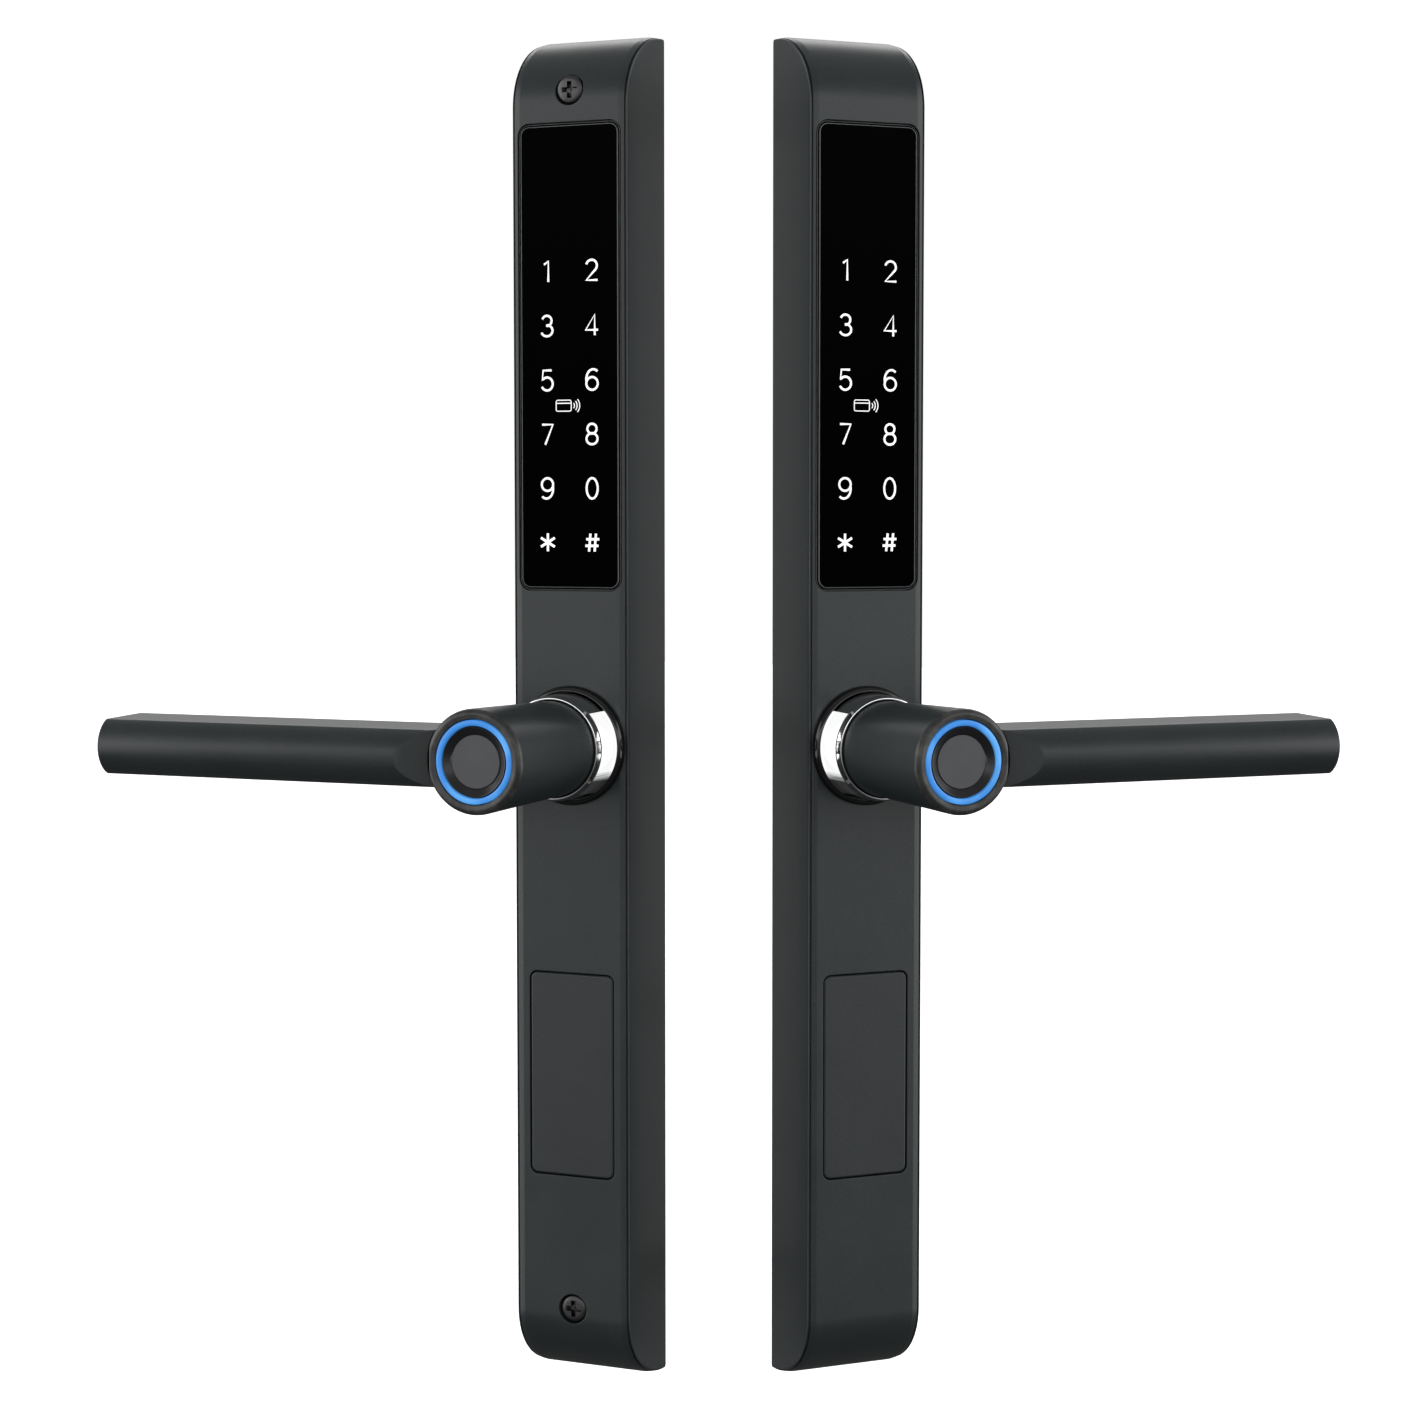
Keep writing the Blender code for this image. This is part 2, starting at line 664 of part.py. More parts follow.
def make_bush(half):
    """Plain bearing in the casing's front wall, with its flange behind the wall."""
    nose = CASING_DEPTH + BUSH_NOSE
    profile = [
        (BUSH_RADIUS, nose),
        (BUSH_RADIUS, FLANGE_FRONT),
        (BUSH_FLANGE_RADIUS, FLANGE_FRONT),
        (BUSH_FLANGE_RADIUS, FLANGE_FRONT - BUSH_FLANGE_THICKNESS),
        (BUSH_RADIUS, FLANGE_FRONT - BUSH_FLANGE_THICKNESS),
        (BUSH_RADIUS, BUSH_BACK),
        (BUSH_BORE_RADIUS, BUSH_BACK),
        (BUSH_BORE_RADIUS, nose),
    ]
    bush = turned(profile)
    bush.location.z = LEVER_AXIS
    return dress(bush, half.piece("lever_bush"), BRASS, half.frame)


def make_circlip(half):
    """Snap ring in the journal's groove: it keeps the lever from pulling out of its bush."""
    inner = JOURNAL_RADIUS - CLIP_GROOVE_DEPTH + GAP
    outer = inner + CLIP_WIDTH
    start = 1.5 * math.pi + CLIP_OPENING / 2
    end = start + 2 * math.pi - CLIP_OPENING
    loop = arc((0, 0), (outer, outer), start, end, RING_STEPS)
    loop += arc((0, 0), (inner, inner), end, start, RING_STEPS)
    clip = sheet([loop], CLIP_BACK, CLIP_FRONT)
    return dress(clip, half.piece("circlip"), STEEL, half.lever_axis)


def make_lever(half):
    """Neck and arm in one casting, with the reader's bore, the spindle socket and the grub screw hole."""
    root = CASING_DEPTH + SHOULDER_GAP
    groove = JOURNAL_RADIUS - CLIP_GROOVE_DEPTH
    rim_flat = NECK_RIM_RADIUS - RIM_ROUND
    profile = [(0, RIM_FRONT)]
    rim_middle = (rim_flat, RIM_FRONT - RIM_ROUND)
    profile += arc(rim_middle, (RIM_ROUND, RIM_ROUND), math.pi / 2, 0, ROUND_STEPS)
    profile += [
        (NECK_ROOT_RADIUS, CASING_DEPTH + TRIM_LENGTH),
        (NECK_ROOT_RADIUS, root),
        (JOURNAL_RADIUS, root),
        (JOURNAL_RADIUS, CLIP_FRONT + GAP),
        (groove, CLIP_FRONT + GAP),
        (groove, CLIP_BACK - GAP),
        (JOURNAL_RADIUS, CLIP_BACK - GAP),
        (JOURNAL_RADIUS, JOURNAL_END),
        (0, JOURNAL_END),
    ]
    lever = turned(profile)
    join(lever, make_arm(half))
    bore_floor = RIM_FRONT - READER_BORE_DEPTH
    socket = SPINDLE_SIDE + 2 * GAP
    socket_back = JOURNAL_END - THROUGH
    socket_front = SPINDLE_SOCKET_DEPTH + GAP
    socket_size = (socket, socket_front - socket_back, socket)
    reader_bore = rod(READER_BORE_RADIUS, bore_floor, RIM_FRONT + THROUGH, steps=RING_STEPS)
    cut(lever, tool(reader_bore, half.lever_axis))
    cut(lever, tool(box(socket_size, (0, -(socket_front + socket_back) / 2, 0)), half.lever_axis))
    cable_bore = rod(CABLE_BORE_RADIUS, socket_front - THROUGH, bore_floor + THROUGH)
    cut(lever, tool(cable_bore, half.lever_axis))
    bore = GRUB_RADIUS + GAP
    below = -NECK_RIM_RADIUS - THROUGH
    grub_hole = turned([(0, 0), (bore, 0), (bore, below), (0, below)], SMALL_STEPS, upright=True)
    grub_hole.location.y = -GRUB_STANDOFF
    cut(lever, tool(grub_hole, half.lever_axis))
    return dress(lever, half.piece("lever"), CHARCOAL, half.lever_axis)


def make_arm(half):
    """Lever arm: a bar with a crowned front, scooped down to the neck at its root."""
    crown = RIM_FRONT - ARM_SETBACK
    back = crown - ARM_DEPTH
    half_front = ARM_FRONT_HEIGHT / 2
    half_back = ARM_BACK_HEIGHT / 2
    crown_radius = (half_front ** 2 + ARM_CROWN ** 2) / (2 * ARM_CROWN)
    reach = math.asin(half_front / crown_radius)
    middle = (-(crown - crown_radius), 0)
    outline = arc(middle, (crown_radius, crown_radius), math.pi + reach, math.pi - reach, CROWN_STEPS)
    corner = (-(back + ARM_BACK_ROUND), half_back - ARM_BACK_ROUND)
    rounding = (ARM_BACK_ROUND, ARM_BACK_ROUND)
    outline += arc(corner, rounding, math.pi / 2, 0, ROUND_STEPS)
    outline += arc((corner[0], -corner[1]), rounding, 0, -math.pi / 2, ROUND_STEPS)
    ends = sorted((half.arm_side * ARM_ROOT, half.arm_side * ARM_REACH))
    arm = tool(bar_across([outline], *ends), half.lever_axis)

    floor = crown - ARM_CROWN - SCOOP_EXTRA_DEPTH
    rise = (crown - floor) / (SCOOP_START - SCOOP_END)
    over = SCOOP_START + THROUGH
    above = RIM_FRONT + THROUGH
    scoop_outline = [
        (half.arm_side * SCOOP_END, -floor),
        (half.arm_side * over, -(crown + THROUGH * rise)),
        (half.arm_side * over, -above),
        (0, -above),
        (0, -floor),
    ]
    scoop = bar_upright([scoop_outline], -ARM_BACK_HEIGHT, ARM_BACK_HEIGHT)
    cut(arm, tool(scoop, half.lever_axis))
    return arm


def make_spindle(half):
    length = SPINDLE_SOCKET_DEPTH + DOOR_REACH
    middle = (SPINDLE_SOCKET_DEPTH - DOOR_REACH) / 2
    spindle = box((SPINDLE_SIDE, length, SPINDLE_SIDE), (0, -middle, 0))
    return dress(spindle, half.piece("half_spindle"), STEEL, half.lever_axis, smooth=False)


def make_grub_screw(half):
    """Set screw under the neck, bearing on the spindle."""
    top = -(SPINDLE_SIDE / 2 + GAP)
    end = top - GRUB_LENGTH
    profile = [(0, top), (GRUB_RADIUS, top), (GRUB_RADIUS, end), (0, end)]
    screw = turned(profile, SMALL_STEPS, upright=True)
    screw.location.y = -GRUB_STANDOFF
    socket_profile = [
        (0, end + GRUB_SOCKET_DEPTH),
        (GRUB_SOCKET_RADIUS, end + GRUB_SOCKET_DEPTH),
        (GRUB_SOCKET_RADIUS, end - GAP),
        (0, end - GAP),
    ]
    socket = turned(socket_profile, GRUB_SOCKET_SIDES, upright=True)
    socket.location.y = -GRUB_STANDOFF
    cut(screw, tool(socket, half.lever_axis))
    return dress(screw, half.piece("grub_screw"), DARK_STEEL, half.lever_axis)


def make_drive_hub(half):
    """Hub on the spindle behind the journal, with the lug that the return spring pushes."""
    hub = rod(HUB_RADIUS, HUB_BACK, HUB_FRONT, steps=RING_STEPS)
    root = HUB_RADIUS / 2
    lug_size = (HUB_LUG_REACH - root, HUB_THICKNESS - 2 * GAP, HUB_LUG_WIDTH)
    lug_centre = (-half.arm_side * (HUB_LUG_REACH + root) / 2, -(HUB_FRONT + HUB_BACK) / 2, 0)
    join(hub, tool(box(lug_size, lug_centre), half.lever_axis))
    bore = SPINDLE_SIDE + 2 * GAP
    bore_centre = (0, -(HUB_FRONT + HUB_BACK) / 2, 0)
    cut(hub, tool(box((bore, HUB_THICKNESS + 2 * THROUGH, bore), bore_centre), half.lever_axis))
    return dress(hub, half.piece("drive_hub"), STEEL, half.lever_axis)


def make_return_spring(half):
    """Torsion spring around the journal, one leg to the casing and one to the hub's lug."""
    turns_length = SPRING_TURNS * SPRING_PITCH
    start = HUB_FRONT + 2 * SPRING_WIRE_RADIUS + GAP
    count = int(SPRING_TURNS * SPRING_STEPS)
    points = [(-half.arm_side * (SPRING_RADIUS + SPRING_LEG), -start, 0)]
    for i in range(count + 1):
        angle = 2 * math.pi * i / SPRING_STEPS
        x = -half.arm_side * SPRING_RADIUS * math.cos(angle)
        points.append((x, -(start + turns_length * i / count), SPRING_RADIUS * math.sin(angle)))
    last = points[-1]
    outward = 1 + SPRING_LEG / SPRING_RADIUS
    points.append((last[0] * outward, last[1], last[2] * outward))
    curve = bpy.data.curves.new("spring", "CURVE")
    curve.dimensions = "3D"
    curve.bevel_depth = SPRING_WIRE_RADIUS
    curve.bevel_resolution = 2
    curve.use_fill_caps = True
    spline = curve.splines.new("POLY")
    spline.points.add(len(points) - 1)
    for point, place in zip(spline.points, points):
        point.co = (*place, 1)
    spring = bpy.data.objects.new("spring", curve)
    spring.location.z = LEVER_AXIS
    spring.name = half.piece("return_spring")
    curve.materials.append(STEEL)
    spring.parent = half.frame
    PARTS.objects.link(spring)
    return spring


def make_light_ring(half):
    front = RIM_FRONT - LIGHT_RING_SETBACK
    back = front - LIGHT_RING_THICKNESS
    edge = GAP / 2
    profile = [
        (LIGHT_RING_OUTER - edge, front),
        (LIGHT_RING_OUTER, front - edge),
        (LIGHT_RING_OUTER, back),
        (LIGHT_RING_INNER, back),
        (LIGHT_RING_INNER, front - edge),
        (LIGHT_RING_INNER + edge, front),
    ]
    return dress(turned(profile), half.piece("light_ring"), BLUE_LIGHT, half.lever_axis)


def make_reader_bezel(half):
    """Dark funnel that leads a fingertip to the sensor, with a base under the light ring."""
    lip = LIGHT_RING_INNER - GAP
    bore = SENSOR_RADIUS + GAP
    lip_front = RIM_FRONT - 2 * LIGHT_RING_SETBACK
    base_front = RIM_FRONT - LIGHT_RING_SETBACK - LIGHT_RING_THICKNESS - GAP
    base_back = RIM_FRONT - SENSOR_SETBACK - SENSOR_THICKNESS
    profile = [
        (lip, lip_front),
        (lip, base_front),
        (LIGHT_RING_OUTER, base_front),
        (LIGHT_RING_OUTER, base_back),
        (bore, base_back),
        (bore, RIM_FRONT - SENSOR_SETBACK),
    ]
    return dress(turned(profile), half.piece("reader_bezel"), BLACK_SATIN, half.lever_axis)


def make_sensor(half):
    front = RIM_FRONT - SENSOR_SETBACK
    back = front - SENSOR_THICKNESS
    profile = [(0, front), (SENSOR_RADIUS, front), (SENSOR_RADIUS, back), (0, back)]
    return dress(turned(profile), half.piece("fingerprint_sensor"), SENSOR_GREY, half.lever_axis)


def make_reader_board(half):
    front = RIM_FRONT - SENSOR_SETBACK - SENSOR_THICKNESS - GAP
    back = front - READER_BOARD_THICKNESS
    profile = [(0, front), (LIGHT_RING_OUTER, front), (LIGHT_RING_OUTER, back), (0, back)]
    return dress(turned(profile), half.piece("reader_board"), BOARD_GREEN, half.lever_axis)


def make_chamber(half, name):
    """Open-fronted tray behind the lower cover; the cover's edge rests on its rim."""
    width = CHAMBER_MOUTH_WIDTH + 2 * CHAMBER_WALL
    height = CHAMBER_MOUTH_HEIGHT + 2 * CHAMBER_WALL
    tray = box(
        (width, CHAMBER_FRONT - CHAMBER_BACK, height),
        (0, -(CHAMBER_FRONT + CHAMBER_BACK) / 2, COVER_CENTRE),
    )
    floor = CHAMBER_BACK + CHAMBER_FLOOR
    beyond = CHAMBER_FRONT + THROUGH
    hollow_size = (CHAMBER_MOUTH_WIDTH, beyond - floor, CHAMBER_MOUTH_HEIGHT)
    cut(tray, tool(box(hollow_size, (0, -(beyond + floor) / 2, COVER_CENTRE)), half.frame))
    if half.name == "outside":
        hole = KEY_CYLINDER_RADIUS + GAP
        cut(tray, tool(rod(hole, CHAMBER_BACK - THROUGH, floor + THROUGH, z=KEY_HEIGHT), half.frame))
    return dress(tray, half.piece(name), BLACK_SATIN, half.frame, smooth=False)


def make_cover(half, name):
    """Lift-off cover, flush with the casing, with a skirt that enters the chamber's mouth."""
    outline = round_rectangle(COVER_WIDTH, COVER_HEIGHT, COVER_CORNER)
    cover = sheet([outline], -COVER_THICKNESS, 0)
    round_front(cover, COVER_BEVEL)
    skirt_width = CHAMBER_MOUTH_WIDTH - 2 * GAP
    skirt_height = CHAMBER_MOUTH_HEIGHT - 2 * GAP
    inner_width = skirt_width - 2 * SKIRT_WALL
    inner_height = skirt_height - 2 * SKIRT_WALL
    back = -COVER_THICKNESS - SKIRT_DEPTH
    plug = sheet([round_rectangle(skirt_width, skirt_height, SKIRT_WALL)], back, -COVER_THICKNESS + GAP)
    hollow_loop = round_rectangle(inner_width, inner_height, SKIRT_WALL / 2)
    hollow = sheet([hollow_loop], back - THROUGH, -COVER_THICKNESS + GAP / 2)
    join(cover, tool(plug, half.cover_axis))
    cut(cover, tool(hollow, half.cover_axis))
    return dress(cover, half.piece(name), CHARCOAL, half.cover_axis)


def make_cell(half, place, side, up):
    """AAA cell standing in the tray, its nub up or down."""
    reach = CELL_LENGTH / 2
    profile = [
        (0, reach + CELL_NUB_HEIGHT),
        (CELL_NUB_RADIUS, reach + CELL_NUB_HEIGHT),
        (CELL_NUB_RADIUS, reach),
        (CELL_RADIUS, reach),
        (CELL_RADIUS, -reach),
        (0, -reach),
    ]
    cell = turned(profile, upright=True)
    cell.location = (side * CELL_SPACING / 2, -CELL_STANDOFF, COVER_CENTRE)
    if not up:
        cell.rotation_euler = (math.pi, 0, 0)
    return dress(cell, half.piece(f"battery_cell_{place}"), CELL_WRAP, half.frame)


def make_contact(half, place, way):
    """Sprung contact strip across one end of the tray, with a pad for each cell."""
    wall = COVER_CENTRE + way * (CHAMBER_MOUTH_HEIGHT / 2 - GAP)
    strip_middle = wall - way * CONTACT_THICKNESS / 2
    strip_size = (CHAMBER_MOUTH_WIDTH - 2 * GAP, CONTACT_WIDTH, CONTACT_THICKNESS)
    strip = box(strip_size, (0, -CELL_STANDOFF, strip_middle))
    pad_end = COVER_CENTRE + way * (CELL_LENGTH / 2 + CELL_NUB_HEIGHT + GAP)
    low, high = sorted((pad_end, strip_middle))
    for side in (-1, 1):
        profile = [(0, high), (CONTACT_PAD_RADIUS, high), (CONTACT_PAD_RADIUS, low), (0, low)]
        pad = turned(profile, SMALL_STEPS, upright=True)
        pad.location = (side * CELL_SPACING / 2, -CELL_STANDOFF, 0)
        join(strip, tool(pad, half.frame))
    return dress(strip, half.piece(f"contact_{place}"), STEEL, half.frame, smooth=False)


def make_through_screw(half, place, height):
    """Machine screw through the casing and the door, with a cross recess in its head."""
    seat = CASING_DEPTH - SCREW_SINK + GAP
    top = seat + SCREW_HEAD_HEIGHT
    dome = SCREW_HEAD_HEIGHT / 4
    profile = [
        (0, top),
        (SCREW_HEAD_RADIUS - dome, top),
        (SCREW_HEAD_RADIUS, top - dome),
        (SCREW_HEAD_RADIUS, seat),
        (SCREW_SHANK_RADIUS, seat),
        (SCREW_SHANK_RADIUS, -DOOR_REACH),
        (0, -DOOR_REACH),
    ]
    screw = turned(profile, SMALL_STEPS)
    screw.location.z = height
    middle = (0, -(top - CROSS_DEPTH / 2 + GAP / 2), height)
    depth = CROSS_DEPTH + GAP
    upright = tool(box((CROSS_WIDTH, depth, CROSS_LENGTH), middle), half.frame)
    level = tool(box((CROSS_LENGTH, depth, CROSS_WIDTH), middle), half.frame)
    cut(screw, upright, level)
    return dress(screw, half.piece(f"screw_{place}"), DARK_STEEL, half.frame)


def make_post(half, place, height):
    """Threaded post that the through screw runs into, fixed in a boss of the outside casing."""
    profile = [
        (0, INSIDE_BACK + POST_SPIGOT),
        (SCREW_SHANK_RADIUS, INSIDE_BACK + POST_SPIGOT),
        (SCREW_SHANK_RADIUS, PLATE_BACK - GAP),
        (POST_RADIUS, PLATE_BACK - GAP),
        (POST_RADIUS, -DOOR_REACH),
        (SCREW_SHANK_RADIUS, -DOOR_REACH),
        (SCREW_SHANK_RADIUS, -GAP - THROUGH),
        (0, -GAP - THROUGH),
    ]
    post = turned(profile, SMALL_STEPS)
    post.location.z = height
    return dress(post, half.piece(f"post_{place}"), BRASS, half.frame)


def make_key_cylinder(half):
    """Emergency key cylinder in the chamber's floor."""
    back = INSIDE_BACK
    bore = KEY_PLUG_RADIUS + GAP
    profile = [
        (KEY_CYLINDER_RADIUS, KEY_CYLINDER_FRONT),
        (KEY_CYLINDER_RADIUS, back),
        (bore, back),
        (bore, KEY_CYLINDER_FRONT),
    ]
    cylinder = turned(profile)
    cylinder.location.z = KEY_HEIGHT
    return dress(cylinder, half.piece("key_cylinder"), BRASS, half.frame)


def make_key_plug(half, key_axis):
    """Plug that the emergency key turns, with its key slot and the tail that enters the door."""
    plug = rod(KEY_PLUG_RADIUS, INSIDE_BACK, KEY_CYLINDER_FRONT + GAP, steps=RING_STEPS)
    tail_front = INSIDE_BACK + GAP
    tail_size = (KEY_TAIL_THICKNESS, tail_front + KEY_TAIL_REACH, KEY_TAIL_WIDTH)
    join(plug, tool(box(tail_size, (0, (KEY_TAIL_REACH - tail_front) / 2, 0)), key_axis))
    slot_size = (KEY_SLOT_WIDTH, KEY_SLOT_DEPTH + THROUGH, KEY_SLOT_HEIGHT)
    slot_middle = KEY_CYLINDER_FRONT + THROUGH / 2 - KEY_SLOT_DEPTH / 2
    cut(plug, tool(box(slot_size, (0, -slot_middle, 0)), key_axis))
    return dress(plug, half.piece("key_plug"), BRASS, key_axis)


def make_power_port(half):
    """Emergency power socket on the chamber's floor."""
    back = CHAMBER_BACK + CHAMBER_FLOOR + GAP
    front = back + PORT_DEPTH
    corner = PORT_HEIGHT / 2 - WELD
    shell = sheet([round_rectangle(PORT_WIDTH, PORT_HEIGHT, corner, PORT_CENTRE)], back, front)
    inner_width = PORT_WIDTH - 2 * PORT_WALL
    inner_height = PORT_HEIGHT - 2 * PORT_WALL
    mouth = round_rectangle(inner_width, inner_height, inner_height / 2 - WELD, PORT_CENTRE)
    tongue = round_rectangle(inner_width - 4 * PORT_WALL, PORT_WALL, PORT_WALL / 4, PORT_CENTRE)
    cut(shell, tool(sheet([mouth, tongue], back + PORT_WALL, front + THROUGH), half.frame))
    return dress(shell, half.piece("power_port"), STEEL, half.frame)


def make_clutch_unit(half):
    """Sealed motor and clutch unit above the hub: it decides whether the outside lever drives the door."""
    top = CLUTCH_STANDOFF + CLUTCH_DEPTH
    unit = box(
        (CLUTCH_WIDTH, CLUTCH_DEPTH, CLUTCH_HEIGHT),
        (0, -(CLUTCH_STANDOFF + top) / 2, CLUTCH_CENTRE),
    )
    edges = unit.modifiers.new("round", "BEVEL")
    edges.width = 2 * GAP
    edges.segments = 1
    return dress(unit, half.piece("clutch_unit"), CLUTCH_GREY, half.frame, smooth=False)


def empty(name, parent=None, location=(0, 0, 0), turn=0.0):
    thing = bpy.data.objects.new(name, None)
    thing.parent = parent
    thing.location = location
    thing.rotation_euler = (0, 0, turn)
    CUTTERS.objects.link(thing)
    return thing


def start_half(name, arm_side, carrier):
    """Empties of one half: its frame, the axis of its lever and the line its cover comes off along."""
    frame = empty(f"{name}_frame", **carrier)
    lever_axis = empty(f"{name}_lever_axis", frame, (0, 0, LEVER_AXIS))
    cover_axis = empty(f"{name}_cover_axis", frame, (0, -CASING_DEPTH, COVER_CENTRE))
    return Half(name, arm_side, frame, lever_axis, cover_axis)


def make_common(half, through_screws, chamber, cover):
    """Every piece that both halves have."""
    make_casing(half, through_screws)
    make_back_plate(half)
    make_gasket(half)
    make_glass(half)
    make_keypad_board(half)
    make_card_antenna(half)
    make_main_board(half)
    make_rose(half)
    make_trim_ring(half)
    make_bush(half)
    make_lever(half)
    make_circlip(half)
    make_return_spring(half)
    make_drive_hub(half)
    make_spindle(half)
    make_grub_screw(half)
    make_reader_bezel(half)
    make_light_ring(half)
    make_sensor(half)
    make_reader_board(half)
    make_chamber(half, chamber)
    make_cover(half, cover)
    for place in PLATE_SCREW_HEIGHTS:
        make_plate_screw(half, place)


def make_inside_half():
    half = start_half("inside", -1, {})
    make_common(half, True, "battery_tray", "battery_cover")
    make_cell(half, "left", -1, True)
    make_cell(half, "right", 1, False)
    make_contact(half, "upper", 1)
    make_contact(half, "lower", -1)
    make_through_screw(half, "top", SCREW_TOP)
    make_through_screw(half, "bottom", SCREW_BOTTOM)


def make_outside_half():
    edge_line = empty("door_edge_line", None, (EDGE_LINE_OFFSET, DOOR_THICKNESS / 2, 0), SPREAD_ANGLE)
    carrier = {"parent": edge_line, "location": (EDGE_LINE_OFFSET, -DOOR_THICKNESS / 2, 0)}
    half = start_half("outside", 1, carrier)
    make_common(half, False, "key_housing", "key_cover")
    make_post(half, "top", SCREW_TOP)
    make_post(half, "bottom", SCREW_BOTTOM)
    make_key_cylinder(half)
    make_key_plug(half, empty("outside_key_axis", half.frame, (0, 0, KEY_HEIGHT)))
    make_power_port(half)
    make_clutch_unit(half)


clear_scene()
PARTS = new_collection("keypad_smart_lock")
CUTTERS = new_collection("cutters")
CHARCOAL = finish("charcoal_coating", (0.045, 0.050, 0.054), 0.42, 0.3)
BLACK_GLASS = finish("black_glass", (0.004, 0.004, 0.005), 0.05)
BLACK_GLOSS = finish("black_gloss", (0.010, 0.010, 0.011), 0.12)
BLACK_SATIN = finish("black_satin", (0.012, 0.012, 0.013), 0.45)
CHROME = finish("chrome", (0.80, 0.80, 0.82), 0.06, 1.0)
SENSOR_GREY = finish("sensor_grey", (0.060, 0.062, 0.068), 0.50)
BLUE_LIGHT = finish("blue_light", (0.05, 0.28, 0.80), 0.30, 0.0, 1.5)
STEEL = finish("steel", (0.50, 0.51, 0.52), 0.35, 1.0)
DARK_STEEL = finish("dark_steel", (0.030, 0.030, 0.032), 0.35, 0.8)
BRASS = finish("brass", (0.62, 0.46, 0.20), 0.32, 1.0)
COPPER = finish("copper", (0.70, 0.34, 0.20), 0.35, 1.0)
RUBBER = finish("rubber", (0.015, 0.015, 0.015), 0.85)
BOARD_GREEN = finish("board_green", (0.010, 0.090, 0.040), 0.45)
CELL_WRAP = finish("cell_wrap", (0.020, 0.060, 0.120), 0.30)
CLUTCH_GREY = finish("clutch_grey", (0.20, 0.20, 0.21), 0.45)
make_inside_half()
make_outside_half()
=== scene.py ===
"""Looks of the keypad smart lock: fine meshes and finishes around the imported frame, floor, light and camera.

Units are metres and +Z is up. Each half of the lock is modelled in its own frame: the door's face is the
plane y = 0, the casing stands out towards -Y and the lever points to -X. A stand-off is a distance in front
of the door's face. The inside half's frame is the world's. The outside half is the mirror image, turned about
the line of the door's edge.
"""

import json
import logging
import math
from collections.abc import Callable, Iterator
from contextlib import contextmanager
from dataclasses import dataclass
from enum import Enum
from itertools import pairwise

import bmesh
import bpy
from mathutils import Matrix, Vector

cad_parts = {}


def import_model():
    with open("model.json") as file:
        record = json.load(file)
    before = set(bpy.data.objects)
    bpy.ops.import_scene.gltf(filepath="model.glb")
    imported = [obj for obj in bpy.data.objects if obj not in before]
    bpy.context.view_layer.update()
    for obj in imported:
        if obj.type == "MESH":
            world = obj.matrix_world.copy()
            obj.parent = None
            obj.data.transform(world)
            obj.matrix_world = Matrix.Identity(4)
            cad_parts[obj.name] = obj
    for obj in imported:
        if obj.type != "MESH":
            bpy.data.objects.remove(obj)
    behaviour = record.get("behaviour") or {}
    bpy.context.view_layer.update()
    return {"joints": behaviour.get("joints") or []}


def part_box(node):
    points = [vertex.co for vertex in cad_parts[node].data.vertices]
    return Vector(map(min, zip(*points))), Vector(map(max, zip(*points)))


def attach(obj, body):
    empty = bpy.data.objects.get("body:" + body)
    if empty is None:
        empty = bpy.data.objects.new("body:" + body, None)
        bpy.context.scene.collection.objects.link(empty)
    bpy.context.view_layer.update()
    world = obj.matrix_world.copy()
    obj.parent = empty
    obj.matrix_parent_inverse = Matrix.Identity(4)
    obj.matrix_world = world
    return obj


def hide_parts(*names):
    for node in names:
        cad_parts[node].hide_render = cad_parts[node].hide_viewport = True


LOG = logging.getLogger("keypad_smart_lock")
TINY = 0.00002
WELD = 0.000002
BEYOND = 0.001
ROUND = 128

Colour = tuple[float, float, float]
Profile = list[tuple[float, float]]
EdgeTest = Callable[[bmesh.types.BMEdge], bool]


class Joining(Enum):
    """How one solid acts on another."""

    CUT = "DIFFERENCE"
    JOIN = "UNION"


class Carrier(Enum):
    """Which body of a half a piece moves with."""

    HALF = "half"
    LEVER = "lever_set"
    COVER = "cover"


@dataclass(frozen=True)
class Room:
    """Space that a CAD node of the inside half fills."""

    low: Vector
    high: Vector

    @classmethod
    def of(cls, node: str) -> "Room":
        """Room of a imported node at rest."""
        return cls(*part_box(node))

    @property
    def back(self) -> float:
        """Stand-off of its back."""
        return -self.high.y

    @property
    def front(self) -> float:
        """Stand-off of its front."""
        return -self.low.y

    @property
    def width(self) -> float:
        """Size across the door."""
        return self.high.x - self.low.x

    @property
    def height(self) -> float:
        """Size up the door."""
        return self.high.z - self.low.z

    @property
    def radius(self) -> float:
        """Radius of a round piece."""
        return self.width / 2

    @property
    def z(self) -> float:
        """Height of its middle."""
        return (self.low.z + self.high.z) / 2


